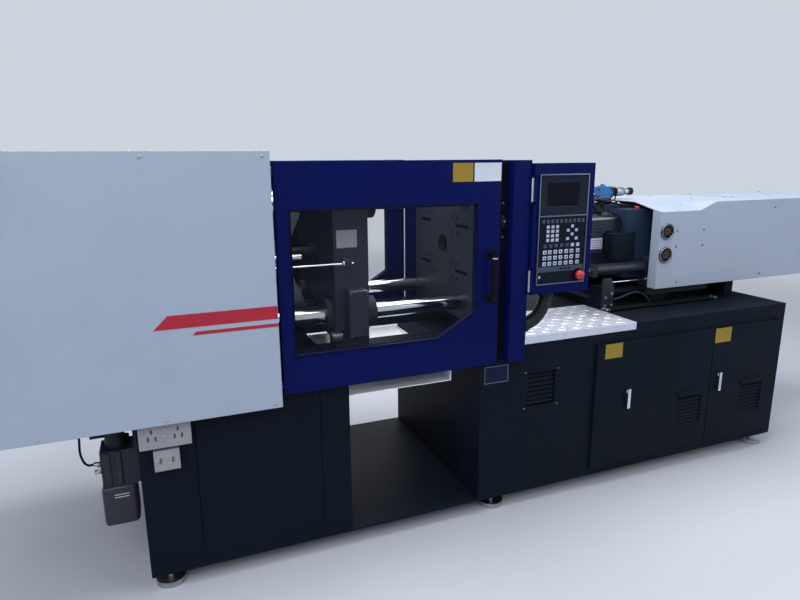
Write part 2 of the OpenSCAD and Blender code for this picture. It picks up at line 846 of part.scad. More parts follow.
module at_carriage_cylinders() {
    for (s = [-1, 1]) translate([0, axis_y + s * carriage_cyl_pitch / 2, carriage_cyl_z]) children();
}

carriage_rod_r = 14;
carriage_piston_x = carriage_cyl_x + carriage_cyl_len / 2 - 80;

module carriage_rods() {
    color("silver") at_home() at_carriage_cylinders() {
        along_x([platen_far_x, 0, 0], carriage_rod_r, carriage_piston_x - platen_far_x + 1);
        along_x([carriage_piston_x, 0, 0], carriage_cyl_d / 2 - 7 - slide_gap, 16);
        along_x([platen_far_x, 0, 0], 24, 26);
    }
}

module carriage_cylinders() {
    cap = 26;
    half = carriage_cyl_d / 2 + 2;
    color("silver") at_home() at_carriage_cylinders() difference() {
        union() {
            along_x([carriage_cyl_x, 0, 0], carriage_cyl_d / 2, carriage_cyl_len);
            for (x = [carriage_cyl_x, carriage_cyl_x + carriage_cyl_len - cap])
                block([x, -half, -half], [x + cap, half, half]);
        }
        along_x([carriage_cyl_x + cap, 0, 0], carriage_cyl_d / 2 - 7, carriage_cyl_len - 2 * cap);
        along_x([carriage_cyl_x - 1, 0, 0], carriage_rod_r + slide_gap, cap + 2);
    }
}

// Saddle under the feed housing that runs on the guide rods
module carriage_saddle() {
    side = 45;
    color("#565d66") at_home() difference() {
        block([bridge_x, axis_y - guide_pitch / 2 - side, guide_z - 26],
            [bridge_x + bridge_len, axis_y + guide_pitch / 2 + side, housing_z]);
        block([bridge_x - 1, axis_y - guide_pitch / 2 + side, guide_z - 40],
            [bridge_x + bridge_len + 1, axis_y + guide_pitch / 2 - side, housing_z - 30]);
        at_guides() along_x([bridge_x - 1, 0, 0], guide_d / 2 + slide_gap, bridge_len + 2);
    }
}

module feed_housing() {
    low_w = carriage_cyl_pitch + 90;
    flange_r = 60;
    relief_r = throat_d / 2 + 7;
    relief_rise = 12;
    color("#565d66") at_home() difference() {
        union() {
            block([housing_x, axis_y - housing_w / 2, housing_z],
                [housing_end, axis_y + housing_w / 2, housing_top]);
            block([carriage_cyl_x + carriage_cyl_len + eps, axis_y - low_w / 2, housing_z],
                [housing_end, axis_y + low_w / 2, carriage_cyl_z + 45]);
            along_z([housing_x + 60, axis_y, housing_top - 1], flange_r, 15);
        }
        along_x([housing_x - 1, axis_y, axis_z], barrel_d / 2, housing_len + 2);
        along_z([housing_x + 60, axis_y, axis_z], throat_d / 2, housing_top - axis_z + 20);
        along_z([housing_x + 60, axis_y, axis_z], relief_r, barrel_d / 2 + relief_rise);
        for (a = [45:90:315]) translate([housing_x + 60, axis_y, 0]) rotate([0, 0, a])
            along_z([46, 0, housing_top - 20], 4.5, 40);
    }
}

module barrel() {
    tip_r = 14;
    nose = 60;
    color("#9a9a98") at_home() difference() {
        union() {
            translate([nozzle_x, axis_y, axis_z]) rotate([0, 90, 0]) cylinder(r1 = tip_r, r2 = 24, h = nose);
            along_x([nozzle_x + nose - 1, axis_y, axis_z], 24, nozzle_len - nose + 2);
            along_x([barrel_x, axis_y, axis_z], barrel_d / 2 + 8, barrel_flange_t);
            along_x([barrel_x + barrel_flange_t - 1, axis_y, axis_z], barrel_d / 2,
                housing_end - 9 - barrel_x - barrel_flange_t);
        }
        along_x([nozzle_x - 1, axis_y, axis_z], 3, nozzle_len + 8);
        along_x([barrel_x + 5, axis_y, axis_z], screw_d / 2 + slide_gap, housing_end - barrel_x);
        along_z([housing_x + 60, axis_y, axis_z], throat_d / 2 - 3, barrel_d);
    }
}

band_w = 60;
band_t = 7;
band_pitch = 84;
band_count = 5;

module heater_bands() {
    color("#b8b4a8") at_home() for (i = [0:band_count - 1]) difference() {
        x = barrel_x + barrel_flange_t + 10 + i * band_pitch;
        union() {
            along_x([x, axis_y, axis_z], barrel_d / 2 + band_t, band_w);
            block([x + 10, axis_y - 15, axis_z - barrel_d / 2 - band_t - 14],
                [x + band_w - 10, axis_y + 15, axis_z - barrel_d / 2 - 1]);
        }
        along_x([x - 1, axis_y, axis_z], barrel_d / 2, band_w + 2);
    }
}

module barrel_guard() {
    x0 = barrel_x + 15;
    half = 100;
    drop = 80;
    top = axis_z + half;
    color("#8d9196") at_home() {
        difference() {
            block([x0, axis_y - half, axis_z - drop], [housing_x, axis_y + half, top]);
            block([x0 - 1, axis_y - half + sheet, axis_z - drop - 1],
                [housing_x - sheet, axis_y + half - sheet, top - sheet]);
            along_x([housing_x - 10, axis_y, axis_z], barrel_d / 2 + 4, 20);
            for (s = [-1, 1], i = [0:7]) {
                y = axis_y + (s > 0 ? half - sheet - 1 : -half - 1);
                block([x0 + 60 + i * 60, y, axis_z + 20], [x0 + 96 + i * 60, y + sheet + 2, axis_z + 28]);
            }
        }
    }
}

module screw() {
    root_r = screw_d / 2 - 4;
    tip = 40;
    x0 = barrel_x + 10;
    shank_x = housing_x + 110;
    color("silver") at_home() {
        translate([x0, axis_y, axis_z]) rotate([0, 90, 0]) cylinder(r1 = 4, r2 = root_r, h = tip);
        along_x([x0 + tip - 1, axis_y, axis_z], root_r, shank_x - x0 - tip + 2);
        for (x = [x0 + tip + 5:30:shank_x - 20]) along_x([x, axis_y, axis_z], screw_d / 2, 6);
        along_x([shank_x, axis_y, axis_z], screw_d / 2, plate_x + plate_t + 60 - shank_x);
    }
}

module at_injection() {
    for (s = [-1, 1]) translate([0, axis_y + s * injection_pitch / 2, axis_z]) children();
}

injection_rod_r = 22;

module injection_cylinders() {
    cap = 30;
    color("#49505a") at_home() at_injection() difference() {
        along_x([housing_end, 0, 0], injection_cyl_d / 2, injection_cyl_len);
        along_x([housing_end + cap, 0, 0], injection_cyl_d / 2 - 12, injection_cyl_len - 2 * cap);
        along_x([housing_end + cap, 0, 0], injection_rod_r + slide_gap, injection_cyl_len);
    }
}

module injection_plate() {
    half_w = injection_pitch / 2 + 55;
    piston_x = housing_end + 34;
    color("#5b6068") at_home() {
        difference() {
            block([plate_x, axis_y - half_w, axis_z - 85],
                [plate_x + plate_t, axis_y + half_w, axis_z + 85]);
            along_x([plate_x - 1, axis_y, axis_z], screw_d / 2 + slide_gap, plate_t + 2);
        }
        at_injection() {
            along_x([piston_x, 0, 0], injection_rod_r, plate_x - piston_x + 1);
            along_x([piston_x, 0, 0], injection_cyl_d / 2 - 12 - slide_gap, 24);
            along_x([plate_x + plate_t - 1, 0, 0], 30, 24);
        }
    }
}

module screw_motor() {
    x = plate_x + plate_t;
    color("#4a4f58") at_home() difference() {
        union() {
            along_x([x, axis_y, axis_z], 88, 60);
            for (a = [0:72:359]) translate([x + 55, axis_y, axis_z]) rotate([a, 0, 0])
                along_z([45, 0, 30], 30, 62);
            along_x([x + 59, axis_y, axis_z], 70, 92);
            along_x([x + 150, axis_y, axis_z], 46, 30);
        }
        along_x([x - 1, axis_y, axis_z], screw_d / 2 + slide_gap, 66);
    }
}

low_top = 1284;
step_x = hood_x + 260;
ramp = 100;
hood_slope = 190;

// Corner that the hood's slope cuts off, seen along X from the hood's upper front corner
module hood_corner() {
    drop = low_top - hood_top;
    polygon([[-1, drop], [-1, 1], [hood_slope, 1], [hood_slope, 0], [0, drop]]);
}

// Hood over the injection drive: folded sheet, lower at its front left corner
module hood_solid(inset) {
    y0 = hood_y + inset;
    y1 = hood_y + hood_w - inset;
    top = hood_top - inset;
    difference() {
        block([hood_x - (inset > 0 ? 1 : 0), y0, hood_z - (inset > 0 ? 1 : 0)],
            [hood_end_x - inset, y1, top]);
        translate([hood_x - 2, y0, top]) rotate([90, 0, 90])
            linear_extrude(step_x - hood_x + 2) hood_corner();
        translate([step_x - 0.5, y0, top]) rotate([90, 0, 90])
            linear_extrude(ramp, scale = 0.02) hood_corner();
    }
}

gauge_zs = [1068, 1187];
gauge_r = 40;
gauge_x = hood_x + gauge_r + 4;

module hood() {
    lip = 55;
    color("whitesmoke") at_home() {
        difference() {
            hood_solid(0);
            hood_solid(sheet);
        }
        translate([hood_x, hood_y, 0]) rotate([90, 0, 90]) linear_extrude(sheet)
            polygon([[1, hood_z], [lip, hood_z],
                [lip, low_top - 2 + (hood_top - low_top) * lip / hood_slope],
                [1, low_top - 2]]);
        block([hood_x, hood_y + hood_w - lip, hood_z], [hood_x + sheet, hood_y + hood_w - 1, hood_top - 1]);
        for (x = [housing_end + 40, bridge_x + bridge_len - 60]) {
            block([x, hood_y + 1, housing_z], [x + 40, hood_y + 80, housing_z + 6]);
            block([x, hood_y + hood_w - 80, housing_z], [x + 40, hood_y + hood_w - 1, housing_z + 6]);
        }
        for (z = gauge_zs) difference() {
            along_y([gauge_x, hood_y - 9, z], gauge_r, 10);
            along_y([gauge_x, hood_y - 10, z], gauge_r - 7, 6);
        }
    }
}

module valve_manifold() {
    y = axis_y + 105;
    z = housing_top;
    coil_x = housing_x + 106;
    coil_z = z + 76;
    color("#2f7fc0") at_home() {
        block([housing_x + 12, y - 34, z], [hood_x - 12, y + 34, z + 46]);
        block([coil_x - 110, y - 26, z + 45], [coil_x, y + 26, z + 106]);
        along_x([coil_x - 1, y, coil_z], 22, 90);
        along_x([coil_x + 88, y, coil_z], 15, 60);
        along_z([coil_x - 55, y, z + 105], 11, 14);
    }
}

// Operator panel

module panel_case() {
    y0 = panel_front_y;
    barrel_r = 5.5;
    color("#1c2b6e") at_home() difference() {
        union() {
            difference() {
                block([panel_x, y0, panel_z], [panel_x + panel_w, y0 + panel_d, panel_z + panel_h]);
                block([panel_x + 3, y0 + 3, panel_z + 3],
                    [panel_x + panel_w - 3, y0 + panel_d - 3, panel_z + panel_h - 3]);
            }
            block([panel_x + 3, hinge_y - 8, panel_z + 3],
                [panel_x + 18, hinge_y + 8, panel_z + panel_h - 3]);
            for (i = [0, 2]) along_z([hinge_x, hinge_y, tab_zs[i] + tab_h + 0.5], barrel_r,
                tab_zs[1] - tab_zs[0] - tab_h - 1);
        }
        for (z = tab_zs) along_z([hinge_x, hinge_y, z - 0.5], 14, tab_h + 1);
        for (i = [0, 2]) along_z([hinge_x, hinge_y, tab_zs[i]], 2.5 + pin_gap,
            tab_zs[1] - tab_zs[0] + tab_h);
        along_y([stop_x, y0 - 1, stop_z], emergency_stem_r + pin_gap, 20);
    }
}

face_x = panel_x + 20;
face_w = 239;
face_z = panel_z + 38;
face_h = 448;
stop_x = face_x + 206;
stop_z = face_z + 34;

module key(x, z, w, h) {
    block([face_x + x - w / 2, panel_front_y - 7, face_z + z - h / 2],
        [face_x + x + w / 2, panel_front_y - 3, face_z + z + h / 2]);
}

// Face of the panel: frame, screen and the moulded key pads
module panel_face() {
    y = panel_front_y;
    rim = 8;
    divider = 281;
    color("dimgray") at_home() difference() {
        union() {
            difference() {
                block([face_x, y - 6, face_z], [face_x + face_w, y, face_z + face_h]);
                block([face_x + rim, y - 7, face_z + rim],
                    [face_x + face_w - rim, y - 3, face_z + divider - rim / 2]);
                block([face_x + rim, y - 7, face_z + divider + rim / 2],
                    [face_x + face_w - rim, y - 3, face_z + face_h - rim]);
            }
            for (i = [0:9]) key(26 + i * 21.4, 260, 16, 17);
            for (i = [0:2], j = [0:3]) key(49 + i * 22.5, 238 - j * 18, 16, 14);
            for (a = [0:90:270]) key(167.5 + 20 * cos(a), 221 + 16.5 * sin(a), 14, 13);
            for (x = [146, 189]) key(x, 187, 16, 13);
            for (i = [0:6]) key(38 + i * 26.8, 160.5, 18, 15);
            for (x = [37, 62, 89, 115, 143, 169, 200], j = [0:2]) key(x, 135.5 - j * 24, 19, 18);
            key(face_w / 2, 64, face_w - 18, 24);
            along_y([face_x + 15, y - 9, face_z + 34], 6, 6);
        }
        along_y([stop_x, y - 10, stop_z], 26, 20);
    }
}

emergency_stem_r = 8;

module emergency_stop() {
    y = panel_front_y;
    head_r = stop_d / 2;
    color("red") at_home() translate([stop_x, y, stop_z]) rotate([90, 0, 0]) {
        translate([0, 0, stop_head - 24]) rotate_extrude() polygon(concat([[0, 0], [head_r - 7, 0],
            [head_r, 5]],
            [for (a = [10:20:90]) [head_r * cos(a), 10 + 14 * sin(a)]]));
        translate([0, 0, -12]) cylinder(r = emergency_stem_r, h = stop_head);
    }
}

// Route of the corrugated conduit from the panel's underside to the post
conduit_bend = [[108, 0], [108, -22], [99, -60], [85, -87], [65, -110], [42, -124], [20, -133], [-5, -138]];
conduit_pts = [for (p = conduit_bend) [panel_x + p[0], -28, panel_z + p[1]]];
conduit_r = conduit_d / 2;

function unit(v) = v / norm(v);
function tangent(p, i) = unit(p[min(i + 1, len(p) - 1)] - p[max(i - 1, 0)]);
function ring(p, i, r, n) = let (t = i == 0 ? [0, 0, -1] : i == len(p) - 1 ? [-1, 0, 0] : tangent(p, i),
    u = [0, 1, 0] - t * t[1], a = unit(u), b = cross(t, a))
    [for (k = [0:n - 1]) p[i] + r * (cos(k * 360 / n) * a + sin(k * 360 / n) * b)];

module tube(p, r, n) {
    pts = [for (i = [0:len(p) - 1]) each ring(p, i, r, n)];
    last = (len(p) - 1) * n;
    faces = concat([[for (k = [0:n - 1]) k]], [[for (k = [n - 1:-1:0]) last + k]],
        [for (i = [0:len(p) - 2], k = [0:n - 1]) let (q = (k + 1) % n)
            [i * n + q, i * n + k, (i + 1) * n + k, (i + 1) * n + q]]);
    polyhedron(points = pts, faces = faces, convexity = 6);
}

module panel_conduit() { color("#202020") at_home() tube(conduit_pts, conduit_r, 12); }

// Cabinet

module cabinet_door(x0, x1, latch_x, vent_inset, vent_z0) {
    y0 = -door_back_gap - cabinet_door_t;
    y1 = -door_back_gap;
    skin = 2;
    hx = x1 - hinge_inset;
    hy = -door_back_gap - cabinet_door_t / 2 - 1;
    vw = 157;
    vh = 172;
    vent_x0 = x1 - vent_inset - vw;
    difference() {
        union() {
            difference() {
                block([x0, y0, cabinet_z], [x1, y1, cabinet_top]);
                block([x0 + skin, y0 + skin, cabinet_z + skin], [x1 - 16, y1 + 1, cabinet_top - skin]);
            }
            block([latch_x - 20, y0 + 1, latch_z - latch_h / 2 - 5],
                [latch_x + 20, y1, latch_z + latch_h / 2 + 5]);
        }
        for (z = [cabinet_z - 1, cabinet_top - 14]) along_z([hx, hy, z], hinge_pin_r + pin_gap, 15);
        block([vent_x0, y0 - 1, vent_z0], [vent_x0 + vw, y0 + skin + 1, vent_z0 + vh]);
        along_y([latch_x, y0 - 1, latch_z + latch_h / 2 - 12], 6 + pin_gap, cabinet_door_t - 1);
    }
    for (i = [0:8]) translate([vent_x0 - 1, y0 + 0.5, vent_z0 + 2 + i * 19]) rotate([-35, 0, 0])
        cube([vw + 2, 1.5, 13]);
    translate([vent_x0 - 6, y0 + 1, vent_z0 + vh]) rotate([90, 0, 90]) linear_extrude(vw + 12)
        polygon([[0, 0], [0, 14], [-20, 2], [-20, 0]]);
}

latch_z = cabinet_z + 337;
left_latch_x = cabinet_x + 188;
right_latch_x = cabinet_seam_x + 47;

module left_cabinet_door() {
    color("#3a4450") at_home() cabinet_door(cabinet_x + door_gap / 2, cabinet_seam_x - door_gap / 2,
        left_latch_x, 45.5, cabinet_z + 119);
}

module right_cabinet_door() {
    color("#3a4450") at_home() cabinet_door(cabinet_seam_x + door_gap / 2, cabinet_end_x - door_gap / 2,
        right_latch_x, 63.5, cabinet_z + 126);
}

// Turning latch handle: a lever on a spindle in the door
module latch(x) {
    y0 = -door_back_gap - cabinet_door_t;
    z = latch_z + latch_h / 2 - 12;
    along_y([x, y0 - 12, z], 6, 22);
    along_y([x, y0 - 14, z], 12, 12);
    block([x - 8, y0 - 22, latch_z - latch_h / 2], [x + 8, y0 - 12, z + 12]);
}

module left_latch() { color("silver") at_home() latch(left_latch_x); }
module right_latch() { color("silver") at_home() latch(right_latch_x); }

// Electric motor and hydraulic pump on the cabinet's floor
module pump_unit() {
    x = cabinet_x + 295;
    y = axis_y + 40;
    z = bed_clear + bed_wall;
    r = 120;
    mz = z + 150;
    color("#3f6f58") at_home() {
        along_x([x, y, mz], r, 330);
        for (a = [20:20:340]) translate([x + 10, y, mz]) rotate([a, 0, 0]) block([0, -2, r - 2],
            [300, 2, r + 12]);
        along_x([x - 46, y, mz], r - 8, 48);
        along_x([x + 329, y, mz], 70, 60);
        along_x([x + 388, y, mz], 56, 130);
        block([x + 30, y - 110, z], [x + 90, y + 110, mz - 60]);
        block([x + 230, y - 110, z], [x + 290, y + 110, mz - 60]);
        block([x + 120, y - 60, mz + r - 10], [x + 220, y + 60, mz + r + 50]);
    }
}

levelling_feet();
clamp_base();
bed_rails();
centre_column();
injection_base();
drop_chute();
tread_plate();
mains_sockets();
lube_pump();
lube_reservoir();
front_guard();
rear_guard();
top_guard();
door_posts();
door_rails();
front_door();
front_window();
front_door_handle();
rear_door();
rear_window();
tie_bars();
tie_bar_nuts();
fixed_platen();
rear_platen();
mould_height_nuts();
clamp_cylinder();
crosshead_guide_rods();
moving_platen();
ejector_cylinder();
ejector_rod();
upper_rear_link();
upper_front_link();
lower_rear_link();
lower_front_link();
upper_crosshead_link();
lower_crosshead_link();
crosshead();
carriage_rails();
carriage_rods();
carriage_saddle();
feed_housing();
carriage_cylinders();
barrel();
heater_bands();
barrel_guard();
screw();
injection_cylinders();
injection_plate();
screw_motor();
hood();
valve_manifold();
panel_case();
panel_face();
emergency_stop();
panel_conduit();
left_cabinet_door();
right_cabinet_door();
left_latch();
right_latch();
pump_unit();
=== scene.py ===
import json
import math

import bpy
from mathutils import Matrix, Vector


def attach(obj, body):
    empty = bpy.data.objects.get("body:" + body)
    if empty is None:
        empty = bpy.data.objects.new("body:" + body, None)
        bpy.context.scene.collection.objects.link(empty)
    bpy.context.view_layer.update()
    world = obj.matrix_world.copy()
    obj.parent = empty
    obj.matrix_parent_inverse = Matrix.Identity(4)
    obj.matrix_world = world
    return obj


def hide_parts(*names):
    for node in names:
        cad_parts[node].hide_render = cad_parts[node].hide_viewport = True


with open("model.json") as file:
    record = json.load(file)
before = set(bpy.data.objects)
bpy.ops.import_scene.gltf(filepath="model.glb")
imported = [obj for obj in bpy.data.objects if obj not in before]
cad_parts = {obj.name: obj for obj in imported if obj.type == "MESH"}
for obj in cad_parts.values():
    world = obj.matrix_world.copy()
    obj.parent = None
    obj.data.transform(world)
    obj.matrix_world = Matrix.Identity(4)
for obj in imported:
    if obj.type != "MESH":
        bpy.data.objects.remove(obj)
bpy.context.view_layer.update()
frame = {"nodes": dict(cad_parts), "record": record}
print("frame loaded")

record = frame["record"]
bodyOf = {node: body for body, nodes in record["behaviour"]["bodies"].items() for node in nodes}

# Places are given as on the workshop drawing: millimetres from the bed's clamp end (x),
# from its operator face (y) and from the floor (z). The frame's origin is under the middle.
middle = {"x": 1575.0, "y": 458.5}


def place(x, y, z):
    return Vector(((x - middle["x"]) / 1000, (y - middle["y"]) / 1000, z / 1000))


# Camera

cameraSetup = {
    "location": place(128.3, -2137.6, 1551),
    "lens": 27.38,           # on a 36 mm sensor
    "yaw": 21.796,           # degrees to the right of +Y
    "pitch": 13.067,         # degrees down
    "roll": -0.412,
}


def aimCamera(setup):
    yaw, pitch, roll = (math.radians(setup[k]) for k in ("yaw", "pitch", "roll"))
    ahead = Vector((math.sin(yaw) * math.cos(pitch), math.cos(yaw) * math.cos(pitch), -math.sin(pitch)))
    right = Vector((math.cos(yaw), -math.sin(yaw), 0))
    up = right.cross(ahead)
    tiltedRight = right * math.cos(roll) + up * math.sin(roll)
    tiltedUp = up * math.cos(roll) - right * math.sin(roll)
    bpy.ops.object.camera_add()
    camera = bpy.context.object
    camera.data.lens = setup["lens"]
    camera.data.sensor_width = 36
    turned = Matrix((tiltedRight, tiltedUp, -ahead)).transposed().to_4x4()
    camera.matrix_world = Matrix.Translation(setup["location"]) @ turned
    bpy.context.scene.camera = camera


aimCamera(cameraSetup)
print("camera set")


# Materials

def hexLinear(code, alpha=1.0):
    parts = [int(code[i:i + 2], 16) / 255 for i in (1, 3, 5)]
    return tuple(c / 12.92 if c <= 0.04045 else ((c + 0.055) / 1.055) ** 2.4 for c in parts) + (alpha,)


def addNode(tree, kind, links=None, **settings):
    node = tree.nodes.new(kind)
    for key, value in settings.items():
        setattr(node, key, value)
    for socket, value in (links or {}).items():
        if isinstance(value, bpy.types.NodeSocket):
            tree.links.new(value, node.inputs[socket])
        else:
            node.inputs[socket].default_value = value
    return node


def newMaterial(name):
    material = bpy.data.materials.new(name)
    material.use_nodes = True
    tree = material.node_tree
    coords = addNode(tree, "ShaderNodeTexCoord").outputs["Object"]
    return material, tree, tree.nodes["Principled BSDF"], coords


def noise(tree, coords, scale, detail, roughness=0.5):
    settings = {"Vector": coords, "Scale": scale, "Detail": detail, "Roughness": roughness}
    return addNode(tree, "ShaderNodeTexNoise", settings).outputs["Fac"]


def mapped(tree, value, taken=(0, 1), given=(0, 1)):
    settings = {"Value": value, "From Min": taken[0], "From Max": taken[1], "To Min": given[0], "To Max": given[1]}
    return addNode(tree, "ShaderNodeMapRange", settings).outputs["Result"]


def product(tree, first, second):
    return addNode(tree, "ShaderNodeMath", {0: first, 1: second}, operation="MULTIPLY").outputs[0]


def greater(tree, first, second):
    return addNode(tree, "ShaderNodeMath", {0: first, 1: second}, operation="MAXIMUM").outputs[0]


def blended(tree, amount, first, second):
    return addNode(tree, "ShaderNodeMix", {"Factor": amount, 6: first, 7: second}, data_type="RGBA").outputs[2]


def bumped(tree, height, strength, distance):
    settings = {"Height": height, "Strength": strength, "Distance": distance}
    return addNode(tree, "ShaderNodeBump", settings).outputs["Normal"]


def shaded(code, times, plus=0):
    return tuple(min(1, c * times + plus) for c in hexLinear(code)[:3]) + (1,)


def fitShader(tree, shader, colour, rough, bump, plain):
    tree.links.new(colour, shader.inputs["Base Color"])
    tree.links.new(rough, shader.inputs["Roughness"])
    if bump:
        tree.links.new(bump, shader.inputs["Normal"])
    for socket, value in plain.items():
        shader.inputs[socket].default_value = value


# Painted sheet and castings. peel is the size in mm of the paint's skin, drawn coarser than
# the real 0.5 mm so that it shows; soil darkens broad patches as handling and dust do; gloss is
# low on the dark paints, which are dull with age and mirror little of a pale room. A few have a clear coat.
paints = {
    "powderCoatOffWhite": {"colour": "#919cad", "soil": "#7c8799", "roughness": 0.4,
                           "peel": 5, "bump": 0.058, "gloss": 0.4},
    "powderCoatInner": {"colour": "#b9bfc9", "soil": "#989fab", "roughness": 0.5,
                        "peel": 5, "bump": 0.05, "gloss": 0.4},
    # The drop chute: its own white paint, lightened to near-white as painted reflection of the bright room seen in it.
    "chuteWhiteAndPaintedReflection": {"colour": "#f4f7fd", "soil": "#d3d8e2", "roughness": 0.3,
                         "peel": 6, "bump": 0.04, "gloss": 0.8},
    "enamelNavy": {"colour": "#061046", "soil": "#040b34", "roughness": 0.38, "peel": 6, "bump": 0.06, "gloss": 0.05},
    "machinePaintSlate": {"colour": "#0e151e", "soil": "#080e15", "roughness": 0.5,
                          "peel": 4, "bump": 0.12, "gloss": 0.05},
    "castingPaintGrey": {"colour": "#2a2e3a", "soil": "#1b1e26", "roughness": 0.55,
                         "peel": 7, "bump": 0.35, "gloss": 0.12},
    "housingPaintSlate": {"colour": "#223045", "soil": "#182232", "roughness": 0.5,
                          "peel": 7, "bump": 0.25, "gloss": 0.1},
    "pumpEnamelGrey": {"colour": "#23282f", "soil": "#15191e", "roughness": 0.42,
                       "peel": 6, "bump": 0.2, "gloss": 0.15},
    "cylinderEnamelSlate": {"colour": "#181e29", "soil": "#10141c", "roughness": 0.3,
                            "peel": 6, "bump": 0.065, "gloss": 0.3},
    "valveEnamelBlue": {"colour": "#24629c", "soil": "#173f6c", "roughness": 0.34,
                        "peel": 4, "bump": 0.06, "coat": 0.1, "gloss": 0.35},
    "motorEnamelGreen": {"colour": "#33594c", "soil": "#20392f", "roughness": 0.45,
                         "peel": 6, "bump": 0.15, "gloss": 0.3},
    "plateEnamelYellow": {"colour": "#846f1b", "soil": "#685713", "roughness": 0.4,
                          "peel": 3, "bump": 0.02, "gloss": 0.3},
    "plateEnamelBlue": {"colour": "#121a33", "soil": "#0c1224", "roughness": 0.38,
                        "peel": 3, "bump": 0.02, "gloss": 0.08},
    "guardLacquerGrey": {"colour": "#28303d", "soil": "#1c222c", "roughness": 0.42,
                         "peel": 5, "bump": 0.08, "gloss": 0.2},
}


paintWear = {"patchScale": 2.2, "patchRange": (0.48, 0.78), "dustScale": 90, "shinier": 0.06, "duller": 0.1,
             "skinDepth": 0.002, "coatRoughness": 0.2, "ior": 1.5}


def paintedMetal(name, look):
    material, tree, shader, coords = newMaterial(name)
    patches = mapped(tree, noise(tree, coords, paintWear["patchScale"], 5, 0.6), paintWear["patchRange"])
    dust = noise(tree, coords, paintWear["dustScale"], 3)
    colour = blended(tree, product(tree, dust, patches), hexLinear(look["colour"]), hexLinear(look["soil"]))
    skin = noise(tree, coords, 1000 / look["peel"], 2)
    bump = bumped(tree, skin, look["bump"], paintWear["skinDepth"])
    roughRange = (look["roughness"] - paintWear["shinier"], look["roughness"] + paintWear["duller"])
    rough = mapped(tree, dust, (0, 1), roughRange)
    fitShader(tree, shader, colour, rough, bump, {
        "IOR": paintWear["ior"], "Specular IOR Level": look["gloss"], "Coat Weight": look.get("coat", 0),
        "Coat Roughness": paintWear["coatRoughness"]})
    return material


# Bare metals. lay stretches the grinding or turning lines, in lines per metre along x, y and z.
metals = {
    "hardChrome": {"colour": "#d4d7dc", "roughness": 0.1, "vary": 0.05, "lay": (40, 40, 900), "bump": 0.01},
    "groundSteel": {"colour": "#8d929a", "roughness": 0.34, "vary": 0.14, "lay": (60, 60, 1400), "bump": 0.06},
    "machinedSteelDark": {"colour": "#5c6068", "roughness": 0.38, "vary": 0.16, "lay": (900, 90, 90), "bump": 0.1},
    "zincPlatedSteel": {"colour": "#a9acb0", "roughness": 0.3, "vary": 0.12, "lay": (200, 200, 260), "bump": 0.05},
    "chequerAluminium": {"colour": "#ccd2de", "roughness": 0.5, "vary": 0.14, "lay": (700, 40, 200), "bump": 0.05},
    # A lighter copy of chequerAluminium for the raised ovals: painted highlight on their tops.
    "chequerPaintedHighlight": {"colour": "#eef1f6", "roughness": 0.42, "vary": 0.08, "lay": (300, 300, 200), "bump": 0.02},
    "gaugeChrome": {"colour": "#6f737b", "roughness": 0.16, "vary": 0.08, "lay": (60, 60, 400), "bump": 0.01},
    "anodisedSilver": {"colour": "#5c6679", "roughness": 0.35, "vary": 0.05, "lay": (300, 300, 600), "bump": 0.03},
    "heaterBandSteel": {"colour": "#a09a8c", "roughness": 0.36, "vary": 0.2, "lay": (500, 60, 60), "bump": 0.06},
}


metalWear = {"smearScale": 9, "lineRange": (0.1, 0.45), "oilRange": (0.5, 0.75), "oilMost": 0.6, "oilShade": 0.62,
             "lineDepth": 0.001}


def bareMetal(name, look):
    material, tree, shader, coords = newMaterial(name)
    stretched = addNode(tree, "ShaderNodeMapping", {"Vector": coords, "Scale": look["lay"]}).outputs[0]
    lines = noise(tree, stretched, 1, 4, 0.65)
    smears = noise(tree, coords, metalWear["smearScale"], 4)
    roughRange = (look["roughness"] - look["vary"] / 2, look["roughness"] + look["vary"])
    rough = mapped(tree, product(tree, lines, smears), metalWear["lineRange"], roughRange)
    oiled = mapped(tree, smears, metalWear["oilRange"], (0, metalWear["oilMost"]))
    colour = blended(tree, oiled, hexLinear(look["colour"]), shaded(look["colour"], metalWear["oilShade"]))
    bump = bumped(tree, lines, look["bump"], metalWear["lineDepth"])
    fitShader(tree, shader, colour, rough, bump, {"Metallic": 1})
    return material


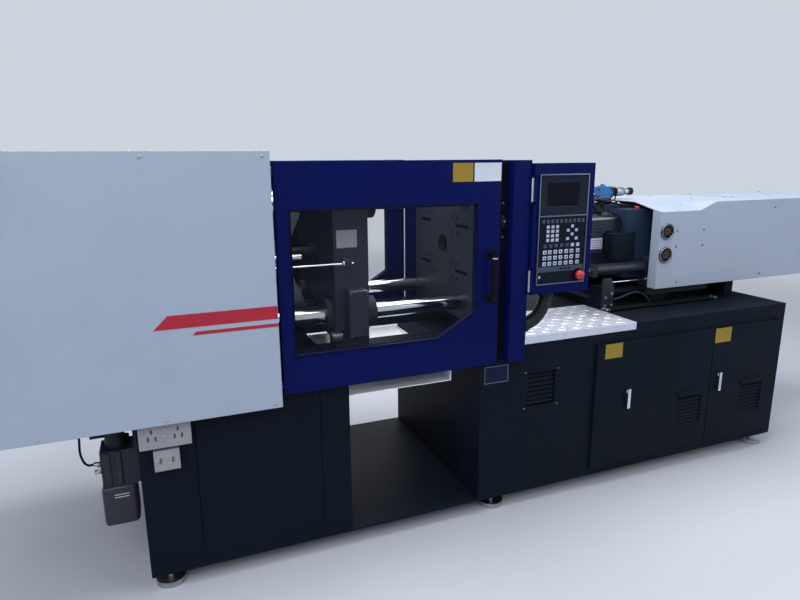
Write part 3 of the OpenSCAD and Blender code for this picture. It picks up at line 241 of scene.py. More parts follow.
# Moulded plastics, films and rubber. grain is the size of the mould's texture in mm.
plastics = {
    "absBlackMoulded": {"colour": "#121316", "roughness": 0.42, "grain": 2.5, "bump": 0.12, "ior": 1.53, "gloss": 0.15},
    "absIvoryMoulded": {"colour": "#85858a", "roughness": 0.34, "grain": 3, "bump": 0.03, "ior": 1.53, "gloss": 0.4},
    "absRedMushroom": {"colour": "#a51d1e", "roughness": 0.28, "grain": 3, "bump": 0.02, "ior": 1.53, "gloss": 0.5},
    "polyesterFilmDark": {"colour": "#101620", "roughness": 0.4, "grain": 2, "bump": 0.06, "ior": 1.57, "gloss": 0.04},
    "polyesterFilmSlate": {"colour": "#17202b", "roughness": 0.4, "grain": 2, "bump": 0.06, "ior": 1.57, "gloss": 0.04},
    "keyPrintGrey": {"colour": "#333c4b", "roughness": 0.45, "grain": 2, "bump": 0.05, "ior": 1.57, "gloss": 0.2},
    "keyPrintWhite": {"colour": "#98a3b9", "roughness": 0.42, "grain": 2, "bump": 0.05, "ior": 1.57, "gloss": 0.25},
    "vinylBandRed": {"colour": "#961a2c", "roughness": 0.3, "grain": 6, "bump": 0.02, "ior": 1.5, "gloss": 0.4},
    "rubberBlack": {"colour": "#0c0d0f", "roughness": 0.62, "grain": 2, "bump": 0.2, "ior": 1.52, "gloss": 0.05},
    "hoseRubberBrown": {"colour": "#3a2522", "roughness": 0.55, "grain": 2, "bump": 0.2, "ior": 1.52, "gloss": 0.2},
    "conduitNylon": {"colour": "#141519", "roughness": 0.36, "grain": 3, "bump": 0.05, "ior": 1.53, "gloss": 0.3},
    "dialCardTan": {"colour": "#503826", "roughness": 0.6, "grain": 3, "bump": 0.02, "ior": 1.5, "gloss": 0.2},
    # ventShadowMesh: near-black used as painted shade behind vents and in holes, slots and louvre gaps, and as the
    # colour of the dark sheet seams
    "ventShadowMesh": {"colour": "#0e1115", "roughness": 0.7, "grain": 3, "bump": 0.3, "ior": 1.5, "gloss": 0.05},
}


plasticWear = {"rubbedScale": 14, "rubbedRange": (0.5, 0.8), "rubbedMost": 0.4, "paler": 1.35, "lift": 0.004,
               "shinier": 0.08, "duller": 0.12, "grainDepth": 0.001}


def mouldedPlastic(name, look):
    material, tree, shader, coords = newMaterial(name)
    grain = noise(tree, coords, 1000 / look["grain"], 2)
    rubbed = noise(tree, coords, plasticWear["rubbedScale"], 3)
    wear = mapped(tree, rubbed, plasticWear["rubbedRange"], (0, plasticWear["rubbedMost"]))
    pale = shaded(look["colour"], plasticWear["paler"], plasticWear["lift"])
    colour = blended(tree, wear, hexLinear(look["colour"]), pale)
    roughRange = (look["roughness"] - plasticWear["shinier"], look["roughness"] + plasticWear["duller"])
    rough = mapped(tree, rubbed, (0, 1), roughRange)
    bump = bumped(tree, grain, look["bump"], plasticWear["grainDepth"])
    fitShader(tree, shader, colour, rough, bump, {"IOR": look["ior"], "Specular IOR Level": look["gloss"]})
    return material


# Clear sheets. alpha leaves the little that a clean pane takes away.
clearSheets = {
    "polycarbonateClear": {"colour": "#39414d", "roughness": 0.06, "alpha": 0.05, "ior": 1.58, "gloss": 0.12},
    "polypropyleneMilky": {"colour": "#2d2d38", "roughness": 0.3, "alpha": 0.9, "ior": 1.49, "gloss": 0.25},
    "gaugeGlass": {"colour": "#20242a", "roughness": 0.03, "alpha": 0.05, "ior": 1.5, "gloss": 0.12},
    "screenGlass": {"colour": "#0a0e18", "roughness": 0.12, "alpha": 1.0, "ior": 1.5, "gloss": 0.08},
}


sheetWear = {"wipeScale": 5, "clearest": 0.5, "dullest": 1.6, "shade": 0.8}


def clearSheet(name, look):
    material, tree, shader, coords = newMaterial(name)
    wipes = noise(tree, coords, sheetWear["wipeScale"], 4)
    roughRange = (look["roughness"] * sheetWear["clearest"], look["roughness"] * sheetWear["dullest"])
    rough = mapped(tree, wipes, (0, 1), roughRange)
    tint = blended(tree, wipes, hexLinear(look["colour"]), shaded(look["colour"], sheetWear["shade"]))
    fitShader(tree, shader, tint, rough, None, {"Alpha": look["alpha"], "Specular IOR Level": look["gloss"],
                                                "IOR": look["ior"]})
    return material


makers = ((paints, paintedMetal), (metals, bareMetal), (plastics, mouldedPlastic), (clearSheets, clearSheet))
finishes = {name: maker(name, look) for table, maker in makers for name, look in table.items()}

nodeFinish = {
    "levelling_feet": "zincPlatedSteel", "clamp_base": "machinePaintSlate", "bed_rails": "machinePaintSlate",
    "centre_column": "machinePaintSlate", "injection_base": "machinePaintSlate", "drop_chute": "chuteWhiteAndPaintedReflection",
    "tread_plate": "chequerAluminium", "mains_sockets": "absIvoryMoulded", "lube_pump": "pumpEnamelGrey",
    "lube_reservoir": "polypropyleneMilky", "front_guard": "powderCoatOffWhite", "rear_guard": "powderCoatOffWhite",
    "top_guard": "powderCoatOffWhite", "door_posts": "enamelNavy",
    "door_rails": "zincPlatedSteel", "front_door": "enamelNavy", "front_window": "polycarbonateClear",
    "front_door_handle": "rubberBlack", "rear_door": "enamelNavy", "rear_window": "polycarbonateClear",
    "tie_bars": "hardChrome", "tie_bar_nuts": "machinedSteelDark", "fixed_platen": "castingPaintGrey",
    "rear_platen": "castingPaintGrey", "mould_height_nuts": "machinedSteelDark", "clamp_cylinder": "pumpEnamelGrey",
    "crosshead_guide_rods": "hardChrome", "moving_platen": "castingPaintGrey", "ejector_cylinder": "pumpEnamelGrey",
    "ejector_rod": "hardChrome", "upper_rear_link": "castingPaintGrey", "upper_front_link": "machinedSteelDark",
    "lower_rear_link": "castingPaintGrey", "lower_front_link": "machinedSteelDark",
    "upper_crosshead_link": "groundSteel", "lower_crosshead_link": "groundSteel", "crosshead": "machinedSteelDark",
    "carriage_rails": "machinePaintSlate", "carriage_rods": "hardChrome", "carriage_saddle": "castingPaintGrey",
    "feed_housing": "housingPaintSlate",
    "carriage_cylinders": "cylinderEnamelSlate", "barrel": "groundSteel", "heater_bands": "heaterBandSteel",
    "barrel_guard": "guardLacquerGrey", "screw": "hardChrome", "injection_cylinders": "pumpEnamelGrey",
    "injection_plate": "castingPaintGrey", "screw_motor": "pumpEnamelGrey", "hood": "powderCoatOffWhite",
    "valve_manifold": "valveEnamelBlue", "panel_case": "enamelNavy", "panel_face": "polyesterFilmDark",
    "emergency_stop": "absRedMushroom", "panel_conduit": "conduitNylon", "left_cabinet_door": "machinePaintSlate",
    "right_cabinet_door": "machinePaintSlate", "left_latch": "hardChrome", "right_latch": "hardChrome",
    "pump_unit": "motorEnamelGreen",
}
for node, finish in nodeFinish.items():
    mesh = frame["nodes"][node].data
    mesh.materials.clear()
    mesh.materials.append(finishes[finish])
print("materials made:", len(finishes))


# Tools for modelling pieces one by one

def clearSelection():
    if bpy.context.object and bpy.context.object.mode != "OBJECT":
        bpy.ops.object.mode_set(mode="OBJECT")
    bpy.ops.object.select_all(action="DESELECT")


def pick(piece):
    clearSelection()
    piece.select_set(True)
    bpy.context.view_layer.objects.active = piece


def settle(piece, name):
    pick(piece)
    piece.name = name
    piece.data.name = name
    bpy.ops.object.transform_apply(location=True, rotation=True, scale=True)
    return piece


def block(name, low, high):
    clearSelection()
    low, high = place(*low), place(*high)
    bpy.ops.mesh.primitive_cube_add(size=1, location=(low + high) / 2)
    piece = bpy.context.object
    piece.scale = high - low
    return settle(piece, name)


def rod(name, start, end, radius, sides=32):
    clearSelection()
    start, end = place(*start), place(*end)
    along = end - start
    bpy.ops.mesh.primitive_cylinder_add(vertices=sides, radius=radius / 1000, depth=along.length,
                                        location=(start + end) / 2)
    piece = bpy.context.object
    piece.rotation_mode = "QUATERNION"
    piece.rotation_quaternion = along.to_track_quat("Z", "Y")
    return settle(piece, name)


def useModifier(piece, kind, **settings):
    pick(piece)
    bpy.ops.object.modifier_add(type=kind)
    modifier = piece.modifiers[-1]
    for key, value in settings.items():
        setattr(modifier, key, value)
    bpy.ops.object.modifier_apply(modifier=modifier.name)
    return piece


def cutAway(piece, hole):
    useModifier(piece, "BOOLEAN", object=hole, operation="DIFFERENCE")
    bpy.data.objects.remove(hole)
    return piece


def roundEdges(piece, width, segments=2, angle=35):
    return useModifier(piece, "BEVEL", width=width / 1000, segments=segments, limit_method="ANGLE",
                       angle_limit=math.radians(angle))


# Which way a face looks or a screw's head points
outward = {"front": Vector((0, -1, 0)), "rear": Vector((0, 1, 0)), "clampEnd": Vector((-1, 0, 0)),
           "farEnd": Vector((1, 0, 0)), "up": Vector((0, 0, 1)), "down": Vector((0, 0, -1)),
           "hoodSlope": Vector((0, -0.211, 0.977))}


def facing(side):
    return lambda face: face.normal.dot(outward[side]) > 0.9


def selectFaces(piece, test):
    pick(piece)
    bpy.ops.object.mode_set(mode="EDIT")
    bpy.ops.mesh.select_mode(type="FACE")
    bpy.ops.mesh.select_all(action="DESELECT")
    bpy.ops.object.mode_set(mode="OBJECT")
    for face in piece.data.polygons:
        face.select = test(face)
    bpy.ops.object.mode_set(mode="EDIT")


def leaveEdit():
    bpy.ops.object.mode_set(mode="OBJECT")


def sink(piece, test, inset, depth):
    selectFaces(piece, test)
    bpy.ops.mesh.inset(thickness=inset / 1000, depth=-depth / 1000)
    leaveEdit()
    return piece


def joined(name, pieces):
    clearSelection()
    for piece in pieces:
        piece.select_set(True)
    bpy.context.view_layer.objects.active = pieces[0]
    if len(pieces) > 1:
        bpy.ops.object.join()
    piece = bpy.context.object
    piece.name = name
    piece.data.name = name
    return piece


def copied(piece, name, spot):
    pick(piece)
    bpy.ops.object.duplicate(linked=False)
    copy = bpy.context.object
    copy.location = place(*spot)
    return settle(copy, name)


def turned(piece, angle, axis, about):
    piece.matrix_world = (Matrix.Translation(place(*about)) @ Matrix.Rotation(math.radians(angle), 4, axis)
                          @ Matrix.Translation(-place(*about)) @ piece.matrix_world)
    return settle(piece, piece.name)


def done(piece, finish, body, smooth=35):
    pick(piece)
    bpy.ops.object.shade_smooth_by_angle(angle=math.radians(smooth))
    piece.data.materials.clear()
    piece.data.materials.append(finishes[finish])
    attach(piece, body)
    return piece


def outlinePlate(name, points, y, thickness):
    clearSelection()
    bpy.ops.mesh.primitive_circle_add(vertices=len(points), fill_type="NGON")
    piece = bpy.context.object
    for vertex, (x, z) in zip(piece.data.vertices, points):
        vertex.co = place(x, y, z)
    pick(piece)
    bpy.ops.object.mode_set(mode="EDIT")
    bpy.ops.mesh.select_all(action="SELECT")
    bpy.ops.mesh.extrude_region_move(TRANSFORM_OT_translate={"value": (0, thickness / 1000, 0)})
    bpy.ops.mesh.select_all(action="SELECT")
    bpy.ops.mesh.normals_make_consistent(inside=False)
    leaveEdit()
    return settle(piece, name)


# How a CAD node's mesh is cleaned and rounded: points merged within so many metres, the rest in degrees
cadMesh = {"merge": 0.00001, "flat": 0.5, "fold": 40, "smooth": 35}


# A copy of a CAD node whose folds and edges are rounded as pressed sheet and castings are
def softened(node, width):
    pick(frame["nodes"][node])
    bpy.ops.object.duplicate(linked=False)
    piece = bpy.context.object
    for key in list(piece.keys()):
        del piece[key]
    world = piece.matrix_world.copy()
    piece.parent = None
    piece.matrix_world = world
    piece.name = "soft_" + node
    piece.data.name = "soft_" + node
    pick(piece)
    bpy.ops.object.mode_set(mode="EDIT")
    bpy.ops.mesh.select_all(action="SELECT")
    bpy.ops.mesh.remove_doubles(threshold=cadMesh["merge"])
    bpy.ops.mesh.dissolve_limited(angle_limit=math.radians(cadMesh["flat"]))
    leaveEdit()
    roundEdges(piece, width, angle=cadMesh["fold"])
    bpy.ops.object.shade_smooth_by_angle(angle=math.radians(cadMesh["smooth"]))
    useModifier(piece, "WEIGHTED_NORMAL", keep_sharp=True, weight=100)    # broad faces stay flat to the eye
    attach(piece, bodyOf[node])
    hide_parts(node)
    return piece


# Rounded sheet and castings

edgeRadii = {
    "clamp_base": 3, "bed_rails": 3, "centre_column": 3, "injection_base": 2, "front_guard": 1.4, "rear_guard": 1.4,
    "top_guard": 1.4, "front_door": 3, "rear_door": 3, "door_posts": 2.5, "hood": 2.5, "panel_case": 3,
    "left_cabinet_door": 1.5, "right_cabinet_door": 1.5, "fixed_platen": 3, "moving_platen": 3, "rear_platen": 3,
    "feed_housing": 4, "left_latch": 2.5, "right_latch": 2.5, "lube_pump": 4, "mains_sockets": 3, "valve_manifold": 4,
    "barrel_guard": 1.2, "injection_plate": 4, "carriage_rails": 3, "carriage_saddle": 3, "tread_plate": 1.5,
    "clamp_cylinder": 4,
}
for node, width in edgeRadii.items():
    softened(node, width)
print("folds and edges rounded:", len(edgeRadii))


# Bolts and screws. Each kind is modelled once, standing on the origin along +Z, and copied.

screwKinds = {
    "capScrew": {"radius": 6.5, "height": 8, "sides": 14, "socket": 3.4, "edge": 0.8},
    "hexHead": {"radius": 9, "height": 7, "sides": 6, "socket": 0, "edge": 0.7},
    "buttonScrew": {"radius": 5, "height": 2.6, "sides": 12, "socket": 2.2, "edge": 0.9},
}


def screwModel(kind):
    setup = screwKinds[kind]
    clearSelection()
    bpy.ops.mesh.primitive_cylinder_add(vertices=setup["sides"], radius=setup["radius"] / 1000,
                                        depth=setup["height"] / 1000, location=(0, 0, setup["height"] / 2000))
    head = settle(bpy.context.object, kind)
    roundEdges(head, setup["edge"], 1, 60)
    if setup["socket"]:
        selectFaces(head, facing("up"))
        bpy.ops.mesh.inset(thickness=(setup["radius"] - setup["edge"] - setup["socket"]) / 1000)
        bpy.ops.mesh.inset(thickness=0.00005, depth=-setup["height"] / 2000)
        leaveEdit()
    return head


# One piece of all the screws of a group, with their heads towards the named side
def screwGroup(name, kind, spots, side, finish, body):
    model = screwModel(kind)
    turn = outward[side].to_track_quat("Z", "Y").to_matrix().to_4x4()
    heads = []
    for spot in spots:
        pick(model)
        bpy.ops.object.duplicate(linked=False)
        head = bpy.context.object
        head.matrix_world = Matrix.Translation(place(*spot)) @ turn
        heads.append(settle(head, "head"))
    bpy.data.objects.remove(model)
    return done(joined(name, heads), finish, body)


def ringSpots(x, y, z, radius, count, start):
    turns = [math.radians(start + i * 360 / count) for i in range(count)]
    return [(x, y + radius * math.cos(a), z + radius * math.sin(a)) for a in turns]


def gridSpots(xs, ys, zs):
    return [(x, y, z) for x in xs for y in ys for z in zs]


def hexPiece(start, end, radius, edge=1.2):
    return roundEdges(rod("hex", start, end, radius, 6), edge, 1)


def smoothPath(route):
    clearSelection()
    bpy.ops.curve.primitive_bezier_curve_add()
    path = bpy.context.object
    spline = path.data.splines[0]
    spline.bezier_points.add(len(route) - 2)
    for point, spot in zip(spline.bezier_points, route):
        point.co = place(*spot)
        point.handle_left_type = point.handle_right_type = "AUTO"
    return path


# A hose, wire or thin rod along a smooth line through the points
def hoseAlong(name, route, radius, finish, body):
    hose = smoothPath(route)
    hose.data.bevel_depth = radius / 1000
    hose.data.bevel_resolution = 4
    hose.data.resolution_u = 10
    hose.data.use_fill_caps = True
    pick(hose)
    bpy.ops.object.convert(target="MESH")
    return done(settle(bpy.context.object, name), finish, body, 60)


# Livery, generic: one straight band with a thin line under it

livery = {"start": 90, "end": 496, "z": 1010, "height": 46, "lineInset": 120, "lineHeight": 12, "gap": 16, "y": -70.2,
          "film": 0.5}


def liveryBands(setup):
    lineZ = setup["z"] - setup["gap"] - setup["lineHeight"]
    bands = ((setup["start"], setup["z"], setup["height"]),
             (setup["start"] + setup["lineInset"], lineZ, setup["lineHeight"]))
    pieces = []
    for start, z, height in bands:
        points = [(start, z), (setup["end"], z), (setup["end"], z + height), (start + height, z + height)]
        pieces.append(outlinePlate("band", points, setup["y"] - setup["film"], setup["film"]))
    return done(joined("livery_bands", pieces), "vinylBandRed", "frame")


liveryBands(livery)

guardScrews = {"x": (-660, -280, 100, 470), "z": (694, 1562), "y": {"front": -70.1, "rear": 1030.1}}


def guardFasteners(setup):
    for side, y in setup["y"].items():
        spots = gridSpots(setup["x"], (y,), setup["z"])
        screwGroup(side + "_guard_screws", "buttonScrew", spots, side, "zincPlatedSteel", "frame")


guardFasteners(guardScrews)
print("guard dressed")


# Sliding doors: glazing beads, inner screen, handle ends, and the seal and switch at the post

window = {"x": (560, 1296), "z": (852, 1378), "cut": (163, 96), "bead": 5.5, "lap": 3, "cutEase": 0.4}


# The window's outline grown by a lap; the ends of the cut move by less than its corners
def windowOutline(setup):
    (x0, x1), (z0, z1) = setup["x"], setup["z"]
    cutX, cutZ = setup["cut"]
    lap, ease = setup["lap"], setup["lap"] * setup["cutEase"]
    return [(x0 - lap, z0 - lap), (x1 - cutX + ease, z0 - lap), (x1 + lap, z0 + cutZ - ease), (x1 + lap, z1 + lap),
            (x0 - lap, z1 + lap)]


def windowBead(name, y, thickness, body):
    outer = outlinePlate(name, windowOutline(window), y, thickness)
    selectFaces(outer, lambda face: abs(face.normal.y) > 0.9)
    bpy.ops.mesh.inset(thickness=window["bead"] / 1000)
    bpy.ops.mesh.bridge_edge_loops()
    leaveEdit()
    roundEdges(outer, 1.5)
    return done(outer, "rubberBlack", body)


windowBead("front_window_bead", -43, 4, "front_door")
windowBead("front_window_inner_bead", -12.5, 3, "front_door")
windowBead("rear_window_bead", 999, 4, "rear_door")
windowBead("rear_window_inner_bead", 969.5, 3, "rear_door")

# Dark sheet inside the rear door beside the links: the photograph shows no daylight there
innerScreen = {"low": (498, 931, 800), "high": (802, 934, 1476), "hem": 12, "sheet": 3, "overlap": 1,
               "screwX": (514, 650, 786), "screwZ": (820, 1456)}


def screenBehindLinks(setup):
    (x0, y0, z0), (x1, y1, z1) = setup["low"], setup["high"]
    hemFront, hemBack = y0 - setup["hem"], y0 + setup["overlap"]
    sheets = [block("sheet", setup["low"], setup["high"]),
              block("hem", (x1 - setup["sheet"], hemFront, z0), (x1, hemBack, z1)),
              block("hem", (x0, hemFront, z1 - setup["sheet"]), (x1, hemBack, z1))]
    done(roundEdges(joined("rear_inner_screen", sheets), 0.8, 1), "machinePaintSlate", "frame")
    spots = gridSpots(setup["screwX"], (y1,), setup["screwZ"])
    screwGroup("inner_screen_screws", "buttonScrew", spots, "rear", "machinedSteelDark", "frame")


screenBehindLinks(innerScreen)

handleEnds = {"x": 1358, "z": (999, 1179), "y": -74, "front": -40, "radius": 13, "half": 9, "foot": (16, 3, 20),
              "collar": (-16, -10), "collarRadius": 13.6}


def doorHandle(setup):
    x, y, front, half = setup["x"], setup["y"], setup["front"], setup["half"]
    reachX, thick, reachZ = setup["foot"]
    ends = []
    for z in setup["z"]:
        ends.append(roundEdges(rod("handle_end", (x, y, z - half), (x, y, z + half), setup["radius"], 24), 3))
        foot = block("handle_foot", (x - reachX, front - thick, z - reachZ), (x + reachX, front, z + reachZ))
        ends.append(roundEdges(foot, 2))
    done(joined("handle_ends", ends), "rubberBlack", "front_door")
    low, high = (setup["z"][1] + dz for dz in setup["collar"])
    collar = roundEdges(rod("handle_collar", (x, y, low), (x, y, high), setup["collarRadius"], 28), 1)
    done(collar, "zincPlatedSteel", "front_door")


doorHandle(handleEnds)

doorSwitch = {"low": (1412, -25, 1278), "high": (1439, -12, 1330), "button": (1426, -25, 1304), "buttonRadius": 5,
              "seal": ((1405, -13.6, 722), (1441, -12.05, 1541)), "screws": ((1426, -12.1, 1375), (1426, -12.1, 1240))}


def postSwitch(setup):
    done(roundEdges(block("door_seal", *setup["seal"]), 0.5, 1), "rubberBlack", "frame")
    case = block("door_switch", setup["low"], setup["high"])
    done(roundEdges(case, 3), "absBlackMoulded", "frame")
    x, y, z = setup["button"]
    button = rod("door_switch_button", (x, y - 3, z), (x, y + 1, z), setup["buttonRadius"], 20)
    done(roundEdges(button, 1), "zincPlatedSteel", "frame")
    screwGroup("post_sheet_screws", "buttonScrew", setup["screws"], "front", "zincPlatedSteel", "frame")


postSwitch(doorSwitch)
print("doors dressed")


# Operator panel. Keys are placed from the lower left corner of its face.

panel = {"front": -75, "x": 1548, "z": 1040, "width": 239, "height": 448, "divider": 281, "rim": 5.5,
         "stop": (1754, 1074), "stopClear": 26, "stopBore": 21, "lightStrip": (9, 53, 75), "surround": (26, 2),
         "screen": ((1587, 1361), (1741, 1453)), "screenTrim": ((1587, 1357), (1741, 1359.5)),
         "lamp": (15, 34), "lampRadius": 6}

# Front and back of each layer, before the panel's front
layers = {"hole": (12, 2), "bezel": (9, 0.05), "film": (5, 2), "lightStrip": (5.5, 4.9), "surround": (6, 2),
          "screen": (5, 3.9), "trim": (4.6, 3.9), "collar": (9.6, 0.05), "lamp": (9, 4)}
keyBase, keyRise = 4.9, 2.2


def stopCutFrom(piece):
    (x, z), y = panel["stop"], panel["front"]
    return cutAway(piece, rod("hole", (x, y - 20, z), (x, y + 4, z), panel["stopClear"], 40))


# A thin piece of the panel between two corners seen from the front and two depths before the panel's front
def panelLayer(name, low, high, depths):
    y = panel["front"]
    return block(name, (low[0], y - depths[0], low[1]), (high[0], y - depths[1], high[1]))


def panelFace(setup):
    x0, z0 = setup["x"], setup["z"]
    x1, z1 = x0 + setup["width"], z0 + setup["height"]
    rim, divider = setup["rim"], z0 + setup["divider"]
    keypad = ((x0 + rim, z0 + rim), (x1 - rim, divider - rim / 2))
    display = ((x0 + rim, divider + rim / 2), (x1 - rim, z1 - rim))
    bezel = panelLayer("panel_bezel", (x0, z0), (x1, z1), layers["bezel"])
    for low, high in (keypad, display):
        cutAway(bezel, panelLayer("hole", low, high, layers["hole"]))
    stopCutFrom(bezel)
    roundEdges(bezel, 1.5)
    done(bezel, "anodisedSilver", "panel")
    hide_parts("panel_face")
    film = panelLayer("keypad_film", *keypad, layers["film"])
    done(roundEdges(stopCutFrom(film), 0.4, 1), "polyesterFilmDark", "panel")
    margin, low, high = setup["lightStrip"]
    strip = panelLayer("panel_light_strip", (x0 + margin, z0 + low), (x1 - margin, z0 + high), layers["lightStrip"])
    done(roundEdges(stopCutFrom(strip), 0.2, 1), "keyPrintGrey", "panel")
    surround = panelLayer("screen_surround", *display, layers["surround"])
    sink(surround, facing("front"), *setup["surround"])
    done(roundEdges(surround, 0.6, 1), "polyesterFilmSlate", "panel")
    screen = panelLayer("screen", *setup["screen"], layers["screen"])
    done(roundEdges(screen, 0.3, 1), "screenGlass", "panel")
    trim = panelLayer("screen_trim", *setup["screenTrim"], layers["trim"])
    done(roundEdges(trim, 0.2, 1), "hoseRubberBrown", "panel")


# Fields of keys: the first key's middle, steps to the right and down, counts across and down, width and height
keyFields = {
    "grey": (((26, 260), (21.4, 0), (10, 1), (14, 16)), ((38, 160.5), (26.8, 0), (5, 1), (16, 14))),
    "white": (((49, 238), (22.5, 18), (3, 4), (14, 12.5)), ((146, 187), (43, 0), (2, 1), (14, 12)),
              ((172, 160.5), (26.8, 0), (2, 1), (16, 14))),
}
cursorKeys = {"middle": (167.5, 221), "reach": (20, 16.5), "size": (13, 12)}
letterKeys = {"xs": (37, 62, 89, 115, 143, 169, 200), "top": 135.5, "step": 24, "rows": 3, "size": (17, 16),
              "mark": (7, 6, 2.5)}
stripMarks = {"xs": (122, 141, 160), "z": 64, "size": (14, 9, 1)}


def keyCap(x, z, width, height, rise=keyRise):
    x, z = panel["x"] + x, panel["z"] + z
    corners = (x - width / 2, z - height / 2), (x + width / 2, z + height / 2)
    return roundEdges(panelLayer("key", *corners, (keyBase + rise, keyBase)), 0.8, 2)


def keyField(first, step, count, size):
    cells = [(i, j) for i in range(count[0]) for j in range(count[1])]
    return [keyCap(first[0] + i * step[0], first[1] - j * step[1], *size) for i, j in cells]


def panelKeys(setup):
    keys = {kind: [cap for field in fields for cap in keyField(*field)] for kind, fields in keyFields.items()}
    (x, z), (reachX, reachZ) = cursorKeys["middle"], cursorKeys["reach"]
    for toX, toZ in ((1, 0), (0, 1), (-1, 0), (0, -1)):
        keys["white"].append(keyCap(x + toX * reachX, z + toZ * reachZ, *cursorKeys["size"]))
    marks = []
    for x in letterKeys["xs"]:
        for j in range(letterKeys["rows"]):
            z = letterKeys["top"] - j * letterKeys["step"]
            keys["white"].append(keyCap(x, z, *letterKeys["size"]))
            marks.append(keyCap(x, z, *letterKeys["mark"]))
    marks += [keyCap(x, stripMarks["z"], *stripMarks["size"]) for x in stripMarks["xs"]]
    done(joined("grey_keys", keys["grey"]), "keyPrintGrey", "panel")
    done(joined("white_keys", keys["white"]), "keyPrintWhite", "panel")
    done(joined("key_marks", marks), "polyesterFilmSlate", "panel")
    x, z, y = setup["x"] + setup["lamp"][0], setup["z"] + setup["lamp"][1], setup["front"]
    front, back = (y - depth for depth in layers["lamp"])
    lamp = rod("status_lamp", (x, front, z), (x, back, z), setup["lampRadius"], 24)
    done(roundEdges(lamp, 1.5), "zincPlatedSteel", "panel")


def stopCollar(setup):
    (x, z), y = setup["stop"], setup["front"]
    front, back = (y - depth for depth in layers["collar"])
    collar = rod("stop_collar", (x, front, z), (x, back, z), setup["stopClear"] - 0.3, 40)
    cutAway(collar, rod("hole", (x, y - 12, z), (x, y + 2, z), setup["stopBore"], 40))
    return done(roundEdges(collar, 1, 1), "rubberBlack", "panel")


panelFace(panel)
stopCollar(panel)
panelKeys(panel)

hingeSleeves = {"x": 1525.5, "y": -66, "spans": ((1014, 1104), (1380, 1474)), "radius": 6}


def panelHinges(setup):
    sleeves = []
    for low, high in setup["spans"]:
        sleeve = rod("sleeve", (setup["x"], setup["y"], low), (setup["x"], setup["y"], high), setup["radius"], 24)
        sleeves.append(roundEdges(sleeve, 0.8, 1))
    return done(joined("panel_hinge_sleeves", sleeves), "zincPlatedSteel", "panel")


panelHinges(hingeSleeves)
print("panel dressed")

# Corrugated conduit along the solid's route, with a collar at each end
conduit = {
    "route": [(1636, -28, 1002), (1636, -28, 980), (1627, -28, 942), (1613, -28, 915), (1593, -28, 892),
              (1570, -28, 878), (1548, -28, 869), (1523, -28, 864)],
    "radius": 28, "pitch": 7.2, "depth": 3, "crest": (0.2, 0.8), "merge": 0.0004, "collarRadius": 33,
    "collars": (((1636, -28, 1001.6), (1636, -28, 984)), ((1523.4, -28, 864), (1541, -28, 867.5))),
}


def panelConduit(setup):
    path = smoothPath(setup["route"])
    length = sum((Vector(b) - Vector(a)).length for a, b in zip(setup["route"], setup["route"][1:]))
    ring = setup["pitch"] / 1000
    clearSelection()
    inner = (setup["radius"] - setup["depth"]) / 1000
    bpy.ops.mesh.primitive_cylinder_add(vertices=32, radius=inner, depth=ring, end_fill_type="NOTHING",
                                        rotation=(0, math.pi / 2, 0), location=(ring / 2, 0, 0))
    hose = settle(bpy.context.object, "panel_conduit_hose")
    bpy.ops.object.mode_set(mode="EDIT")
    bpy.ops.mesh.select_all(action="SELECT")
    bpy.ops.mesh.subdivide(number_cuts=2)
    leaveEdit()
    low, high = (share * ring for share in setup["crest"])
    for vertex in hose.data.vertices:
        if low < vertex.co.x < high:
            reach = setup["radius"] / 1000 / math.hypot(vertex.co.y, vertex.co.z)
            vertex.co.y *= reach
            vertex.co.z *= reach
    useModifier(hose, "ARRAY", count=int(length / setup["pitch"]), use_merge_vertices=True,
                merge_threshold=setup["merge"])
    useModifier(hose, "CURVE", object=path, deform_axis="POS_X")
    settle(hose, "panel_conduit_hose")
    bpy.data.objects.remove(path)
    done(hose, "conduitNylon", "frame", 60)
    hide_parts("panel_conduit")
    collars = [roundEdges(rod("collar", start, end, setup["collarRadius"], 32), 2.5) for start, end in setup["collars"]]
    done(joined("conduit_collars", collars), "absBlackMoulded", "frame")


panelConduit(conduit)
print("conduit done")


# Tread plate: raised ovals in staggered rows, as rolled chequer plate has

tread = {"fields": (((1612, 28), (2150, 366)), ((1546, 24), (1570, 140))), "top": 801, "pitch": 82, "turn": 16,
         "bump": (25, 10.5, 1.8), "root": -0.05}


def treadBumps(setup):
    clearSelection()
    bpy.ops.mesh.primitive_uv_sphere_add(segments=12, ring_count=8, radius=1)
    lens = bpy.context.object
    bpy.ops.object.mode_set(mode="EDIT")
    bpy.ops.mesh.select_all(action="SELECT")
    bpy.ops.mesh.bisect(plane_co=(0, 0, setup["root"]), plane_no=(0, 0, 1), clear_inner=True, use_fill=True)
    leaveEdit()
    lens.scale = Vector(setup["bump"]) / 1000
    settle(lens, "tread_bump")
    bumps = []
    for (x0, y0), (x1, y1) in setup["fields"]:
        x, row = x0, 0
        while x <= x1:
            y = y0 + (setup["pitch"] / 2 if row % 2 else 0)
            while y <= y1:
                spot = (x, y, setup["top"])
                angle = setup["turn"] if row % 2 else -setup["turn"]
                bumps.append(turned(copied(lens, "bump", spot), angle, "Z", spot))
                y += setup["pitch"]
            x += setup["pitch"] / 2
            row += 1
    bpy.data.objects.remove(lens)
    # The ovals are lighter than the plate: painted highlight.
    return done(joined("tread_bumps", bumps), "chequerPaintedHighlight", "frame", 60)


treadBumps(tread)
print("tread plate done")


# Bare plates, where such machines carry signs

